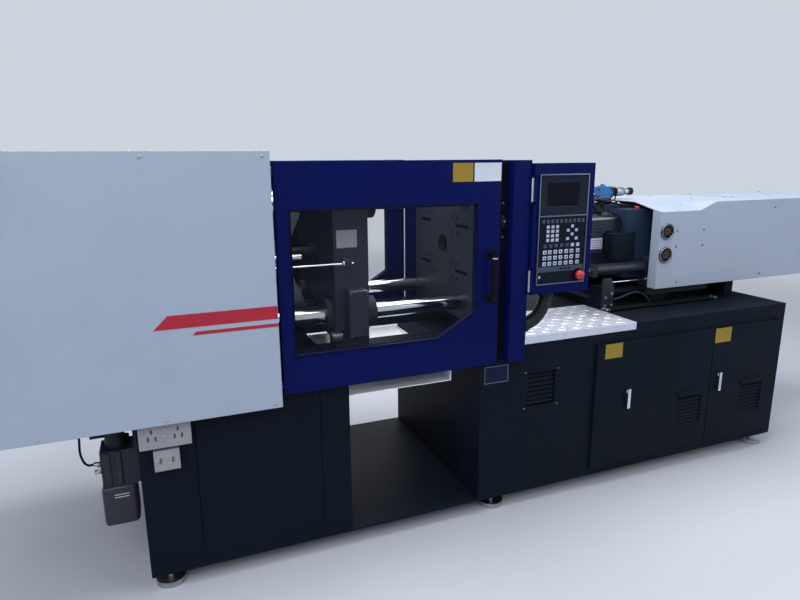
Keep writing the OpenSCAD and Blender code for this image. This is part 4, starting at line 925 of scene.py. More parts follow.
# Corners on the machine's front, the face behind the plate, finish and body
plates = {
    "left_yellow_plate": ((1991, 645), (2090, 715), -14, "plateEnamelYellow", "left_cabinet_door"),
    "right_yellow_plate": ((2673.5, 640), (2781, 715), -14, "plateEnamelYellow", "right_cabinet_door"),
    "column_plate": ((1371, 614), (1480, 683), 0, "plateEnamelBlue", "frame"),
    "door_plate_left": ((1186, 1464), (1272, 1534), -40, "plateEnamelYellow", "front_door"),
    "door_plate_right": ((1278, 1464), (1396, 1534), -40, "powderCoatInner", "front_door"),
    "platen_plate": ((780, 1210), (864, 1280), 160, "absIvoryMoulded", "moving_platen"),
}
plateSheet = {"thick": 1, "gap": 0.05, "hem": 4, "depth": 0.3}
plateBorder = {"low": (1367, -1.2, 610), "high": (1484, -0.05, 687), "hem": 4, "depth": 1.1}


def signPlate(name, low, high, face, finish, body):
    front, back = face - plateSheet["thick"], face - plateSheet["gap"]
    plate = block(name, (low[0], front, low[1]), (high[0], back, high[1]))
    sink(plate, facing("front"), plateSheet["hem"], plateSheet["depth"])
    done(roundEdges(plate, 0.3, 1), finish, body)


for name, setup in plates.items():
    signPlate(name, *setup)
border = block("column_plate_border", plateBorder["low"], plateBorder["high"])
sink(border, facing("front"), plateBorder["hem"], plateBorder["depth"])
done(border, "anodisedSilver", "frame")
print("plates done")


# Clamp, as seen through the window: position rod, cover on the moving platen, seals and bolts

positionRod = {"start": (275, 100, 1157), "end": 829, "radius": 3.6, "nuts": (786, 812), "nut": (8, 11),
               "foot": (795, 820), "footHalf": (12, 14), "guide": (404, 432), "guideHalf": (14, 16), "platen": 160,
               "clearance": 0.6}


def clampRod(setup):
    y, z = setup["start"][1:]
    rodPiece = roundEdges(rod("position_rod", setup["start"], (setup["end"], y, z), setup["radius"], 24), 1)
    done(rodPiece, "hardChrome", "moving_platen")
    thick, radius = setup["nut"]
    nuts = [hexPiece((x, y, z), (x + thick, y, z), radius, 0.8) for x in setup["nuts"]]
    done(joined("position_rod_nuts", nuts), "zincPlatedSteel", "moving_platen")
    (low, high), (halfY, halfZ) = setup["foot"], setup["footHalf"]
    foot = block("position_rod_foot", (low, y - halfY, z - halfZ), (high, setup["platen"], z + halfZ))
    done(roundEdges(foot, 2), "castingPaintGrey", "moving_platen")
    (low, high), (halfY, halfZ) = setup["guide"], setup["guideHalf"]
    guide = block("position_rod_guide", (low, y - halfY, z - halfZ), (high, setup["platen"], z + halfZ))
    cutAway(guide, rod("hole", (low - 5, y, z), (high + 5, y, z), setup["radius"] + setup["clearance"], 24))
    done(roundEdges(guide, 2), "castingPaintGrey", "clamp_end")


clampRod(positionRod)

platenCover = {"low": (806, 86, 858), "high": (884, 159.6, 1044), "panel": (9, 2.5), "lidInset": (4, 2), "lidThick": 3,
               "screwInset": 6, "shoe": ((742, 120, 842), (786, 159.8, 872))}


def platenBox(setup):
    (x0, y0, z0), (x1, y1, z1) = setup["low"], setup["high"]
    cover = block("platen_cover", setup["low"], setup["high"])
    sink(cover, facing("front"), *setup["panel"])
    done(roundEdges(cover, 4), "castingPaintGrey", "moving_platen")
    inset, back = setup["lidInset"]
    lid = block("platen_cover_lid", (x0 + inset, y0 + inset, z1), (x1 - inset, y1 - back, z1 + setup["lidThick"]))
    done(roundEdges(lid, 1.2), "zincPlatedSteel", "moving_platen")
    inset = setup["screwInset"]
    spots = gridSpots((x0 + inset, x1 - inset), (y0,), (z0 + inset, z1 - inset))
    screwGroup("platen_cover_screws", "buttonScrew", spots, "front", "machinedSteelDark", "moving_platen")
    done(roundEdges(block("platen_shoe", *setup["shoe"]), 3), "zincPlatedSteel", "moving_platen")


platenBox(platenCover)

tieBars = {"y": (250, 710), "z": (920, 1380), "radius": 32.5, "seal": (958.05, 963), "sealRadius": 42, "clearance": 0.4,
           "nutFace": 1647, "boltRing": 46}


def ringAround(x0, x1, y, z, inner, outer):
    ring = rod("ring", (x0, y, z), (x1, y, z), outer, 48)
    return roundEdges(cutAway(ring, rod("hole", (x0 - 5, y, z), (x1 + 5, y, z), inner, 48)), 0.8, 1)


def tieBarFittings(setup):
    inner = setup["radius"] + setup["clearance"]
    seals, nutSpots = [], []
    for y in setup["y"]:
        for z in setup["z"]:
            seals.append(ringAround(*setup["seal"], y, z, inner, setup["sealRadius"]))
            nutSpots += ringSpots(setup["nutFace"], y, z, setup["boltRing"], 6, 30)
    done(joined("tie_bar_seals", seals), "zincPlatedSteel", "moving_platen")
    screwGroup("tie_nut_screws", "capScrew", nutSpots, "farEnd", "machinedSteelDark", "frame")


tieBarFittings(tieBars)
print("clamp dressed")


# Dark discs sunk in the mould bolt holes and slots of the fixed platen: painted shade in the holes
boltHoles = {"face": 1397, "y": 480, "z": 1150, "pitch": (50.4, 70), "radius": 8, "depth": 4, "shadeDisc": 2, "gap": 0.1,
             "slots": (226, 614), "slotLength": 120, "slotHalf": 8.8}


def platenHoleShade(setup):
    y, z = setup["y"], setup["z"]
    front, back = setup["face"] + setup["depth"], setup["face"] + setup["depth"] + setup["shadeDisc"]
    stepY, stepZ = setup["pitch"]
    cells = [(i, j) for i in (-3, -2, 2, 3) for j in (-2, -1, 1, 2) if abs(i) < 3 or abs(j) < 3]
    spots = [(y + i * stepY, z + j * stepZ) for i, j in cells]
    # near-black discs deep in each hole and slot: painted shade
    pieces = [rod("shadeDisc", (front, yy, zz), (back, yy, zz), setup["radius"] - setup["gap"], 16) for yy, zz in spots]
    for y0 in setup["slots"]:
        low, high = y0 + 2 * setup["gap"], y0 + setup["slotLength"] - 2 * setup["gap"]
        for zz in (z - 1.5 * stepZ, z + 1.5 * stepZ):
            pieces.append(block("shadeDisc", (front, low, zz - setup["slotHalf"]), (back, high, zz + setup["slotHalf"])))
    return done(joined("platen_hole_shade", pieces), "ventShadowMesh", "frame")


platenHoleShade(boltHoles)


# Injection unit: valve, manifold, hoses, terminal box, guard trim, wiring, cable duct and the guide rods' end

valve = {"y": 585, "z": 1366, "sleeves": ((2467, 2499, 25, "absBlackMoulded"), (2501, 2546, 24.5, "zincPlatedSteel"),
                                          (2558, 2588, 17, "zincPlatedSteel"), (2590, 2612, 21, "absBlackMoulded")),
         "plugs": ((2380, 572), (2440, 598)), "plug": (1396, 1406, 8),
         "fittings": ((2356, 2330, 572, 1356, 11), (2356, 2330, 600, 1372, 11), (2372, 2350, 567, 1312, 10),
                      (2372, 2350, 603, 1312, 10)),
         "screws": ((2366, 2456), (559,), (1346, 1386))}


def valveSleeves(setup):
    y, z = setup["y"], setup["z"]
    for i, (x0, x1, radius, finish) in enumerate(setup["sleeves"]):
        sleeve = rod("valve_sleeve_" + str(i + 1), (x0, y, z), (x1, y, z), radius, 36)
        done(roundEdges(sleeve, 1.5), finish, "carriage")
    low, high, radius = setup["plug"]
    plugs = [hexPiece((x, yy, low), (x, yy, high), radius, 1) for x, yy in setup["plugs"]]
    done(joined("valve_plugs", plugs), "zincPlatedSteel", "carriage")
    ends = [hexPiece((x0, yy, zz), (x1, yy, zz), radius) for x0, x1, yy, zz, radius in setup["fittings"]]
    done(joined("valve_fittings", ends), "zincPlatedSteel", "carriage")
    screwGroup("valve_screws", "capScrew", gridSpots(*setup["screws"]), "front", "machinedSteelDark", "carriage")


valveSleeves(valve)

manifold = {"low": (2371.4, 550.2, 1290.3), "high": (2448.6, 619.8, 1335.6), "ports": (2390, 2430),
            "hollow": ((2371.9, 550.8, 1289), (2448.1, 619.2, 1334)), "port": (550, 541, 1313, 9)}


def manifoldBody(setup):
    body = cutAway(block("manifold_body", setup["low"], setup["high"]), block("hole", *setup["hollow"]))
    done(roundEdges(body, 0.2, 1), "pumpEnamelGrey", "carriage")
    back, front, z, radius = setup["port"]
    ports = [hexPiece((x, back, z), (x, front, z), radius) for x in setup["ports"]]
    done(joined("manifold_ports", ports), "zincPlatedSteel", "carriage")


manifoldBody(manifold)

unitHoses = {
    "brown_hose_a": {"radius": 7.5, "finish": "hoseRubberBrown", "route": [
        (2345, 567, 1312), (2318, 562, 1314), (2300, 548, 1322), (2318, 538, 1330), (2390, 540, 1324),
        (2448, 538, 1314), (2490, 520, 1302), (2530, 500, 1297)]},
    "brown_hose_b": {"radius": 7.5, "finish": "hoseRubberBrown", "route": [
        (2448.5, 600, 1312), (2470, 598, 1310), (2500, 580, 1304), (2540, 560, 1298.5)]},
    "black_hose_a": {"radius": 6, "finish": "rubberBlack", "route": [
        (2330, 572, 1356), (2306, 566, 1352), (2290, 545, 1330), (2300, 520, 1300), (2318, 500, 1268),
        (2322, 480, 1250.5)]},
    "band_wires": {"radius": 4.5, "finish": "rubberBlack", "route": [
        (2240, 479, 1251), (2250, 470, 1266), (2290, 430, 1272), (2340, 372, 1262), (2346, 350, 1220),
        (2335, 350, 1176)]},
    "brown_hose_c": {"radius": 7, "finish": "hoseRubberBrown", "route": [
        (2430, 541, 1313), (2430, 518, 1312), (2446, 496, 1306), (2490, 470, 1304), (2548, 452, 1303)]},
    "black_hose_b": {"radius": 6, "finish": "rubberBlack", "route": [
        (2390, 541, 1313), (2388, 516, 1314), (2374, 470, 1318), (2366, 420, 1316), (2374, 380, 1308),
        (2420, 362, 1303), (2500, 380, 1303)]},
    "coil_wire": {"radius": 3.5, "finish": "rubberBlack", "route": [
        (2466, 572, 1390), (2472, 552, 1380), (2470, 542, 1350), (2464, 548, 1322), (2448.8, 584, 1314)]},
}
for name, setup in unitHoses.items():
    hoseAlong(name, setup["route"], setup["radius"], setup["finish"], "carriage")

terminalBox = {"low": (2262, 298, 1036), "high": (2404, 319.6, 1176), "lid": (5, -2), "inset": 4, "screwInset": 12,
               "backEnd": (2358, 379.6)}


def boxOfTerminals(setup):
    (x0, y0, z0), (x1, y1, z1) = setup["low"], setup["high"]
    inset, (backX, backY) = setup["inset"], setup["backEnd"]
    case = block("terminal_box", setup["low"], setup["high"])
    sink(case, facing("front"), *setup["lid"])
    back = block("terminal_box_back", (x0 + inset, y1 - 2, z0 + inset), (backX, backY, z1 - inset))
    done(roundEdges(joined("terminal_box", [case, back]), 2), "machinePaintSlate", "carriage")
    inset = setup["screwInset"]
    spots = gridSpots((x0 + inset, x1 - inset), (y0 - 2,), (z0 + inset, z1 - inset))
    screwGroup("terminal_box_screws", "buttonScrew", spots, "front", "rubberBlack", "carriage")


boxOfTerminals(terminalBox)

# On the barrel guard's front: ribs, a bright strip on the top edge as painted highlight of the sheet's fold, a
# perforated plate with its holes as dark marks of painted shade, and the red cap on the housing
guardTrim = {"ribs": (1196, 1216, 1229), "rib": (1830, 376.5, 2262, 379.8, 7),
             "foldHighlight": ((1800, 377.6, 1239), (2359, 379.9, 1249.6)),
             "plate": ((2150, 377.6, 1090), (2262, 379.9, 1146)),
             "slots": (2156, 1097), "slotSteps": (13, 12), "slotCounts": (8, 4), "slot": (7, 4),
             "slotDepth": (377.2, 378), "cap": ((2435, 338, 1289.5), (2435, 338, 1304)), "capRadius": 12}


def barrelGuardTrim(setup):
    x0, front, x1, back, height = setup["rib"]
    ribs = [roundEdges(block("rib", (x0, front, z), (x1, back, z + height)), 1.2, 1) for z in setup["ribs"]]
    done(joined("guard_ribs", ribs), "guardLacquerGrey", "carriage")
    # A bright strip along the guard's top edge: painted highlight of the fold
    trim = block("guard_fold_highlight", *setup["foldHighlight"])
    done(roundEdges(trim, 0.6, 1), "zincPlatedSteel", "carriage")
    plate = block("guard_mesh_plate", *setup["plate"])
    done(roundEdges(plate, 1, 1), "powderCoatInner", "carriage")
    (x0, z0), (stepX, stepZ), (width, height) = setup["slots"], setup["slotSteps"], setup["slot"]
    (across, down), (front, back) = setup["slotCounts"], setup["slotDepth"]
    corners = [(x0 + i * stepX, z0 + j * stepZ) for i in range(across) for j in range(down)]
    # Dark marks for the plate's holes: painted shade
    slots = [block("slot", (x, front, z), (x + width, back, z + height)) for x, z in corners]
    done(joined("guard_mesh_slot_shade", slots), "ventShadowMesh", "carriage")
    cap = rod("red_cap", *setup["cap"], setup["capRadius"], 24)
    done(roundEdges(cap, 2.5), "absRedMushroom", "carriage")


barrelGuardTrim(guardTrim)

# Ferrules of the upper hoses, and the heater bands' plugs with a wire from each into the housing.
# The wire's points are steps from its plug's corner, then the last two places.
wiring = {"ferrules": ((2452, 494, 1306), (2372, 442, 1317)), "ferrule": (9, 10),
          "plugs": ((2282, 392, 1250), (2312, 394, 1250), (2338, 398, 1250)), "plug": (20, 30, 22),
          "steps": ((10, 28, 16), (14, 60, 34), (40, 100, 40)), "ends": ((2362, 130, 1304), (2400, 120, 1306)),
          "wireRadius": 3.2}


def heaterWiring(setup):
    half, radius = setup["ferrule"]
    ferrules = [hexPiece((x, y, z - half), (x, y, z + half), radius, 1) for x, y, z in setup["ferrules"]]
    done(joined("hose_ferrules", ferrules), "zincPlatedSteel", "carriage")
    wide, deep, high = setup["plug"]
    plugs = [roundEdges(block("plug", (x, y, z), (x + wide, y + deep, z + high)), 2) for x, y, z in setup["plugs"]]
    done(joined("heater_plugs", plugs), "keyPrintGrey", "carriage")
    wires = []
    for x, y, z in setup["plugs"]:
        route = [(x + dx, y + dy, z + dz) for dx, dy, dz in setup["steps"]]
        route += [(endX, y + dy, endZ) for endX, dy, endZ in setup["ends"]]
        wires.append(hoseAlong("wire", route, setup["wireRadius"], "rubberBlack", "carriage"))
    done(joined("heater_wires", wires), "rubberBlack", "carriage", 60)


heaterWiring(wiring)

cableDuct = {"low": (2196, 722, 797.2), "high": (2960, 757, 874), "lid": 3, "lidDrop": 8, "lidLap": 2}


def ductBehind(setup):
    (x0, y0, z0), (x1, y1, z1) = setup["low"], setup["high"]
    lap = setup["lidLap"]
    duct = roundEdges(block("cable_duct", setup["low"], setup["high"]), 2)
    lid = block("cable_duct_lid", (x0 - lap, y0 - lap, z1 - setup["lidDrop"]), (x1 + lap, y1 + lap, z1 + setup["lid"]))
    done(joined("cable_duct", [duct, roundEdges(lid, 1.2)]), "machinePaintSlate", "frame")


ductBehind(cableDuct)

rodBracket = {"depth": (256, 13.7), "bolts": ((2200, 818), (2238, 818), (2200, 862), (2238, 880)),
              "outline": ((2184, 800), (2254, 800), (2254, 912), (2234, 958), (2192, 958), (2184, 938)),
              "strokeRod": ((2246, 285, 930), (2489.5, 285, 930), 4),
              "rodNut": ((2478, 285, 930), (2489.7, 285, 930), 9)}


def railEnd(setup):
    y, thick = setup["depth"]
    bracket = outlinePlate("rail_end_bracket", setup["outline"], y, thick)
    done(roundEdges(bracket, 2.5), "pumpEnamelGrey", "frame")
    spots = [(x, y, z) for x, z in setup["bolts"]]
    screwGroup("rail_end_bolts", "hexHead", spots, "front", "groundSteel", "frame")
    strokeRod = rod("stroke_rod", *setup["strokeRod"], 20)
    done(roundEdges(strokeRod, 0.8, 1), "hardChrome", "carriage")
    nut = rod("stroke_rod_nut", *setup["rodNut"], 6)
    done(roundEdges(nut, 1, 1), "zincPlatedSteel", "carriage")


railEnd(rodBracket)

bedHoses = {
    "silver_hose": {"radius": 5.5, "finish": "pumpEnamelGrey", "route": [
        (2250, 251, 848), (2280, 250, 852), (2330, 249, 866), (2390, 249, 874), (2440, 250, 858), (2478, 251, 826),
        (2490, 251, 797.5)]},
    "bed_hose_a": {"radius": 8.5, "finish": "rubberBlack", "route": [
        (2190, 242, 806), (2260, 236, 806), (2360, 244, 806), (2480, 236, 806), (2620, 242, 806), (2760, 238, 806),
        (2900, 240, 806)]},
    "bed_hose_b": {"radius": 8.5, "finish": "rubberBlack", "route": [
        (2190, 214, 806), (2280, 212, 806), (2400, 218, 806), (2560, 210, 806), (2720, 216, 806), (2900, 212, 806)]},
}
for name, setup in bedHoses.items():
    hoseAlong(name, setup["route"], setup["radius"], setup["finish"], "frame")

hoseGlands = {"x": (2172, 2892), "y": (213, 241), "z": (806,), "length": 26, "radius": 11}
glands = [hexPiece((x, y, z), (x + hoseGlands["length"], y, z), hoseGlands["radius"])
          for x, y, z in gridSpots(hoseGlands["x"], hoseGlands["y"], hoseGlands["z"])]
done(joined("bed_hose_glands", glands), "machinedSteelDark", "frame")
print("injection unit dressed")


# Gauges and screws on the hood

# Round parts have two depths behind the hood's face, a radius and their sides
gauges = {"x": 2504, "z": (1068, 1187), "face": 186, "card": ((3.7, 3.3), 18, 40), "dial": ((5, 3.8), 32.6, 40),
          "hub": ((2, 4.1), 4, 16), "glass": ((0.6, 1.8), 32.9, 40), "ring": ((-3, 8.5), 40.6, 56),
          "bore": ((-9, 20), 32.4, 56), "tick": ((-0.8, 3.4, 23), (0.8, 4.1, 29)), "ticks": 9, "firstTurn": -135,
          "tickTurn": 33.75, "hand": ((-1, 2.6, -7), (1, 3.4, 25)), "handTurn": -110}
gaugeFinishes = {
    "gauge_dials": ("dialCardTan", "ivory_plastic"), "gauge_faces": ("rubberBlack", "black_plastic"),
    "gauge_ticks": ("keyPrintWhite", "ivory_plastic"), "gauge_hands": ("absBlackMoulded", "black_plastic"),
    "gauge_glasses": ("gaugeGlass", "window_sheet"), "gauge_rings": ("gaugeChrome", "hard_chrome"),
}


def gaugeDisc(setup, z, depths, radius, sides):
    x, y = setup["x"], setup["face"]
    return rod("disc", (x, y + depths[0], z), (x, y + depths[1], z), radius, sides)


def gaugeBar(setup, z, low, high, edge, angle):
    middleOfDial = (setup["x"], setup["face"], z)
    bar = block("bar", *(tuple(a + b for a, b in zip(middleOfDial, corner)) for corner in (low, high)))
    if edge:
        roundEdges(bar, edge, 1)
    return turned(bar, angle, "Y", middleOfDial)


def hoodGauges(setup):
    parts = {name: [] for name in gaugeFinishes}
    for z in setup["z"]:
        parts["gauge_dials"].append(gaugeDisc(setup, z, *setup["card"]))
        parts["gauge_faces"].append(gaugeDisc(setup, z, *setup["dial"]))
        for step in range(setup["ticks"]):
            angle = setup["firstTurn"] + step * setup["tickTurn"]
            parts["gauge_ticks"].append(gaugeBar(setup, z, *setup["tick"], 0, angle))
        parts["gauge_hands"].append(gaugeBar(setup, z, *setup["hand"], 0.4, setup["handTurn"]))
        parts["gauge_hands"].append(gaugeDisc(setup, z, *setup["hub"]))
        parts["gauge_glasses"].append(roundEdges(gaugeDisc(setup, z, *setup["glass"]), 0.4, 1))
        ring = cutAway(gaugeDisc(setup, z, *setup["ring"]), gaugeDisc(setup, z, *setup["bore"]))
        parts["gauge_rings"].append(roundEdges(ring, 3.2, 4))
    for name, (finish, slot) in gaugeFinishes.items():
        done(joined(name, parts[name]), finish, "carriage")


hoodGauges(gauges)

hoodFrontScrews = [(2575, 195, 1186), (2754, 195, 1184), (2575, 195, 1106), (2754, 195, 1104), (3260, 195, 1280),
                   (3700, 195, 1280), (2600, 195, 920), (3200, 195, 920), (3780, 195, 920)]
hoodRearScrews = gridSpots((2600, 3200, 3780), (765,), (1280, 920))
hoodSlopeScrews = [(2581, 218, 1289), (2690, 301, 1307)]
screwGroup("hood_front_screws", "buttonScrew", hoodFrontScrews, "front", "machinedSteelDark", "carriage")
screwGroup("hood_rear_screws", "buttonScrew", hoodRearScrews, "rear", "machinedSteelDark", "carriage")
screwGroup("hood_slope_screws", "buttonScrew", hoodSlopeScrews, "hoodSlope", "zincPlatedSteel", "carriage")
print("hood dressed")


# Back, ends and tops: louvred vents, sheet seams and covers, as such machines have

def between(name, a, b):
    return block(name, tuple(map(min, a, b)), tuple(map(max, a, b)))


# Corners, the side it is on, the sheet it is pressed from and the body
vents = {
    "guard_rear_vent": ((-420, 1030.05, 1180), (-80, 1030.05, 1400), "rear", "front_guard", "frame"),
    "guard_end_vent_a": ((-700.05, 180, 1120), (-700.05, 420, 1340), "clampEnd", "front_guard", "frame"),
    "guard_end_vent_b": ((-700.05, 540, 1120), (-700.05, 780, 1340), "clampEnd", "front_guard", "frame"),
    "hood_rear_vent": ((3380, 765.05, 1010), (3640, 765.05, 1190), "rear", "front_guard", "carriage"),
    "hood_end_vent": ((3850.05, 330, 1000), (3850.05, 620, 1180), "farEnd", "front_guard", "carriage"),
    "bed_end_vent": ((3174.05, 300, 330), (3174.05, 660, 560), "farEnd", "injection_base", "frame"),
}
louvres = {"frame": 2, "margin": 16, "height": 10, "pitch": 20, "reach": 6, "slope": 2.8, "gapDrop": 4,
           "gapTop": 10.2, "gapReach": 2.4}


def louvredVent(name, low, high, side, sheet, body):
    low, high, out = Vector(low), Vector(high), outward[side]
    pieces = [roundEdges(between(name, low, high + out * louvres["frame"]), 0.8, 1)]
    margin = Vector((0 if out.x else louvres["margin"], 0 if out.y else louvres["margin"], 0))
    z, gapShade = low.z + louvres["margin"], []
    while z < high.z - louvres["pitch"]:
        start = Vector((low.x, low.y, z)) + margin + out * louvres["frame"]
        end = Vector((high.x, high.y, z + louvres["height"])) - margin
        slat = between("slat", start, end + out * louvres["reach"])
        selectFaces(slat, facing("down"))
        bpy.ops.transform.translate(value=out * -louvres["slope"] / 1000)
        leaveEdit()
        pieces.append(slat)
        # a near-black block under each slat: painted shade in the gap
        gapLow = start - Vector((0, 0, louvres["gapDrop"]))
        gapHigh = end + out * louvres["gapReach"] - Vector((0, 0, louvres["gapTop"]))
        gapShade.append(between("gap", gapLow, gapHigh))
        z += louvres["pitch"]
    done(joined(name, pieces), nodeFinish[sheet], body)
    done(joined(name + "_gap_shade", gapShade), "ventShadowMesh", body)


for name, setup in vents.items():
    louvredVent(name, *setup)

seams = {
    "guard_seams": ("frame", (((-300, -66, 1580), (-297, 1026, 1580.4)), ((100, -66, 1580), (103, 1026, 1580.4)),
                              ((-60, 1030, 682), (-57, 1030.4, 1578)), ((-700.4, 470, 682), (-700, 473, 1578)))),
    "hood_seams": ("carriage", (((3180, 330, 1325), (3183, 764, 1325.4)), ((3180, 765, 898), (3183, 765.4, 1322)))),
}
for name, (body, lines) in seams.items():
    done(joined(name, [between("seam", *corners) for corners in lines]), "ventShadowMesh", body)

# Places in x, y and z, the side, finish and body
sheetScrews = {
    "guard_top_screws": ((-670, -330, -260, 70, 130, 460), (-40, 480, 1000), (1580.05,), "up", "zincPlatedSteel",
                         "frame"),
    "guard_end_screws": ((-700.05,), (-40, 440, 503, 1000), (710, 1130, 1550), "clampEnd", "zincPlatedSteel", "frame"),
    "hood_top_screws": ((2900, 3150, 3213, 3500, 3820), (430, 740), (1325.05,), "up", "machinedSteelDark", "carriage"),
    "hood_end_screws": ((3850.05,), (215, 475, 735), (925, 1290), "farEnd", "machinedSteelDark", "carriage"),
}
for name, (xs, ys, zs, side, finish, body) in sheetScrews.items():
    screwGroup(name, "buttonScrew", gridSpots(xs, ys, zs), side, finish, body)
print("back, ends and tops dressed")


# Base: dark sheets behind the vents as painted shade of the inside, covers at the back, the lubrication pump and the
# sockets' screws

# Dark sheets behind the louvres: painted shade where the inside is dark
shadeSheet = {"thick": 0.9, "hem": 3, "depth": 0.3}
ventShade = {
    "left_vent_shade": {"low": (2461, 215), "high": (2626, 395), "y": -4.5, "body": "left_cabinet_door"},
    "right_vent_shade": {"low": (2886, 222), "high": (3051, 402), "y": -4.5, "body": "right_cabinet_door"},
    "base_vent_shade": {"low": (1580, 468), "high": (1736, 632), "y": 17, "body": "frame"},
}
for name, setup in ventShade.items():
    (x0, z0), (x1, z1) = setup["low"], setup["high"]
    mesh = block(name, (x0, setup["y"], z0), (x1, setup["y"] + shadeSheet["thick"], z1))
    sink(mesh, facing("front"), shadeSheet["hem"], shadeSheet["depth"])
    done(mesh, "ventShadowMesh", setup["body"])

baseScrews = gridSpots((1572, 1744), (0,), (466, 634))
screwGroup("base_vent_screws", "buttonScrew", baseScrews, "front", "machinedSteelDark", "frame")

rearCovers = {"xs": ((90, 640), (1640, 2180), (2260, 2640), (2720, 3080)), "z": (150, 690), "y": (960.05, 964),
              "field": (22, -5), "screwInset": 11}


def baseCovers(setup):
    covers, spots = [], []
    (z0, z1), (front, back), inset = setup["z"], setup["y"], setup["screwInset"]
    for x0, x1 in setup["xs"]:
        cover = block("cover", (x0, front, z0), (x1, back, z1))
        sink(cover, facing("rear"), *setup["field"])
        covers.append(roundEdges(cover, 1.5))
        spots += gridSpots((x0 + inset, x1 - inset), (back,), (z0 + inset, (z0 + z1) / 2, z1 - inset))
    done(joined("rear_base_covers", covers), "machinePaintSlate", "frame")
    screwGroup("rear_cover_screws", "buttonScrew", spots, "rear", "zincPlatedSteel", "frame")


baseCovers(rearCovers)

lube = {"tank": ((-134, 52, 270), (-18, 168, 425)), "corner": 16, "bands": (381, 391), "band": (-94, 50.8, -44, 58, 3),
        "cap": ((-76, 110, 612), (-76, 110, 622), 37), "collar": ((-124, 62, 416), (-28, 158, 430)),
        "barrels": (((-104, 64, 430), (-104, 64, 556)), ((-68, 64, 430), (-68, 64, 556))), "barrelRadius": 15,
        "fittings": (((-126, 80, 480), (-150, 80, 480), 9, 1.2), ((-126, 80, 510), (-150, 80, 510), 9, 1.2),
                     ((-122, 76, 495), (-138, 76, 495), 15, 2)),
        "line": [(-148, 80, 510), (-168, 80, 512), (-184, 82, 540), (-186, 86, 600), (-180, 92, 660), (-160, 96, 700)],
        "lineRadius": 4}


def lubeFittings(setup):
    tank = roundEdges(block("lube_tank", *setup["tank"]), setup["corner"], 4)
    done(tank, "polypropyleneMilky", "frame")
    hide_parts("lube_reservoir")
    x0, front, x1, back, height = setup["band"]
    bands = [roundEdges(block("band", (x0, front, z), (x1, back, z + height)), 0.8, 1) for z in setup["bands"]]
    done(joined("lube_tank_bands", bands), "zincPlatedSteel", "frame")
    collars = [roundEdges(rod("cap", *setup["cap"], 32), 3), roundEdges(block("collar", *setup["collar"]), 3)]
    done(joined("lube_collars", collars), "absBlackMoulded", "frame")
    barrels = [roundEdges(rod("barrel", *ends, setup["barrelRadius"], 28), 2) for ends in setup["barrels"]]
    done(joined("lube_barrels", barrels), "cylinderEnamelSlate", "frame")
    fittings = [hexPiece(*fitting) for fitting in setup["fittings"]]
    done(joined("lube_fittings", fittings), "zincPlatedSteel", "frame")
    hoseAlong("lube_line", setup["line"], setup["lineRadius"], "rubberBlack", "frame")


lubeFittings(lube)

socketScrews = [(93, -36, 625), (93, -36, 652), (60, -30, 531), (124, -30, 531)]
screwGroup("socket_screws", "buttonScrew", socketScrews, "front", "zincPlatedSteel", "frame")
print("base dressed")


# Floor, backdrop and light

studio = {"floor": "#a9adb6", "wall": "#cdd3dc", "light": "#eef2f8", "size": 40, "fade": (3.4, 9.0), "fill": 0.46,
          "speckleScale": 3, "roughness": (0.75, 0.85)}


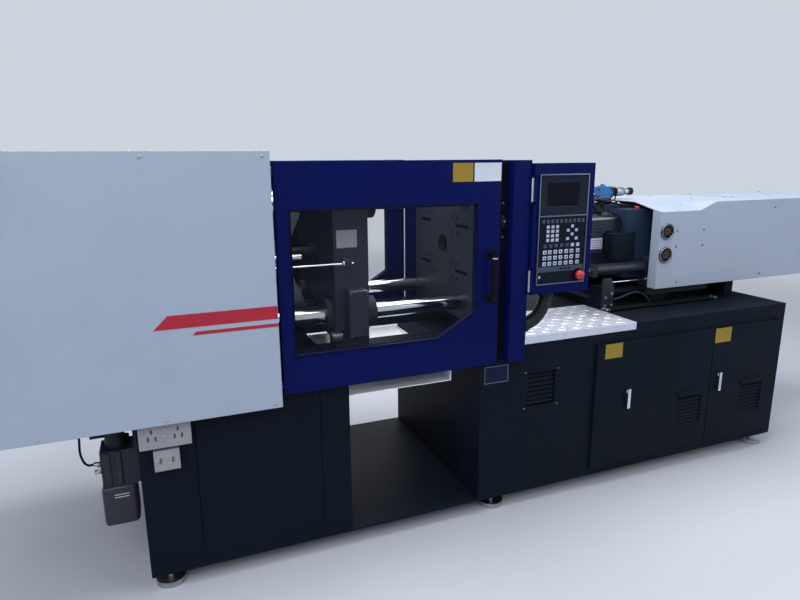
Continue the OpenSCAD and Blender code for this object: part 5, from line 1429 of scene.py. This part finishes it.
# The floor fades into the backdrop with its distance from the machine, for what looks at it only
def studioFloor(setup):
    clearSelection()
    bpy.ops.mesh.primitive_circle_add(vertices=96, radius=setup["size"], fill_type="NGON")
    floor = settle(bpy.context.object, "studio_floor")
    material, tree, shader, coords = newMaterial("floorMattePale")
    rough = mapped(tree, noise(tree, coords, setup["speckleScale"], 6), (0, 1), setup["roughness"])
    shader.inputs["Base Color"].default_value = hexLinear(setup["floor"])
    tree.links.new(rough, shader.inputs["Roughness"])
    far = addNode(tree, "ShaderNodeVectorMath", {0: coords}, operation="LENGTH")
    fade = addNode(tree, "ShaderNodeMapRange", {"Value": far.outputs["Value"], "From Min": setup["fade"][0],
                                                "From Max": setup["fade"][1]}, interpolation_type="SMOOTHSTEP")
    wall = addNode(tree, "ShaderNodeEmission", {"Color": hexLinear(setup["wall"]), "Strength": 1.0})
    rays = addNode(tree, "ShaderNodeLightPath").outputs
    amount = product(tree, fade.outputs["Result"], greater(tree, rays["Is Camera Ray"], rays["Is Glossy Ray"]))
    mixed = addNode(tree, "ShaderNodeMixShader", {0: amount, 1: shader.outputs[0], 2: wall.outputs[0]})
    tree.links.new(mixed.outputs[0], tree.nodes["Material Output"].inputs["Surface"])
    floor.data.materials.append(material)


def studioWorld(setup):
    world = bpy.data.worlds.new("studio")
    bpy.context.scene.world = world
    world.use_nodes = True
    tree = world.node_tree
    light = tree.nodes["Background"]
    light.inputs["Color"].default_value = hexLinear(setup["light"])
    light.inputs["Strength"].default_value = setup["fill"]
    shown = addNode(tree, "ShaderNodeBackground", {"Color": hexLinear(setup["wall"]), "Strength": 1.0})
    rays = addNode(tree, "ShaderNodeLightPath").outputs
    sharp = greater(tree, rays["Is Glossy Ray"], rays["Is Transmission Ray"])
    seen = greater(tree, rays["Is Camera Ray"], sharp)
    mixed = addNode(tree, "ShaderNodeMixShader", {0: seen, 1: light.outputs[0], 2: shown.outputs[0]})
    tree.links.new(mixed.outputs[0], tree.nodes["World Output"].inputs["Surface"])


lamps = {
    "key": {"at": (-1500, -3800, 4200), "to": (1300, 300, 900), "size": 3.2, "power": 150, "colour": "#f6f9ff"},
    "fill": {"at": (4600, -3200, 3000), "to": (2200, 300, 800), "size": 3.0, "power": 70, "colour": "#eef4ff"},
    "top": {"at": (1500, 600, 4600), "to": (1500, 480, 900), "size": 3.6, "power": 280, "colour": "#ffffff"},
    "left": {"at": (-3900, -900, 2500), "to": (1800, 300, 1000), "size": 2.4, "power": 75, "colour": "#f3f7ff"},
    "back": {"at": (2200, 4600, 3600), "to": (1500, 500, 900), "size": 3.4, "power": 95, "colour": "#f3f7ff"},
}


def hangLamp(name, setup):
    clearSelection()
    bpy.ops.object.light_add(type="AREA", location=place(*setup["at"]))
    lamp = bpy.context.object
    lamp.name = name
    lamp.data.size = setup["size"]
    lamp.data.energy = setup["power"]
    lamp.data.color = hexLinear(setup["colour"])[:3]
    aim = place(*setup["to"]) - place(*setup["at"])
    lamp.rotation_euler = aim.to_track_quat("-Z", "Y").to_euler()


studioFloor(studio)
studioWorld(studio)
for name, setup in lamps.items():
    hangLamp(name, setup)
bpy.context.scene.view_settings.view_transform = "Standard"
print("studio lit")
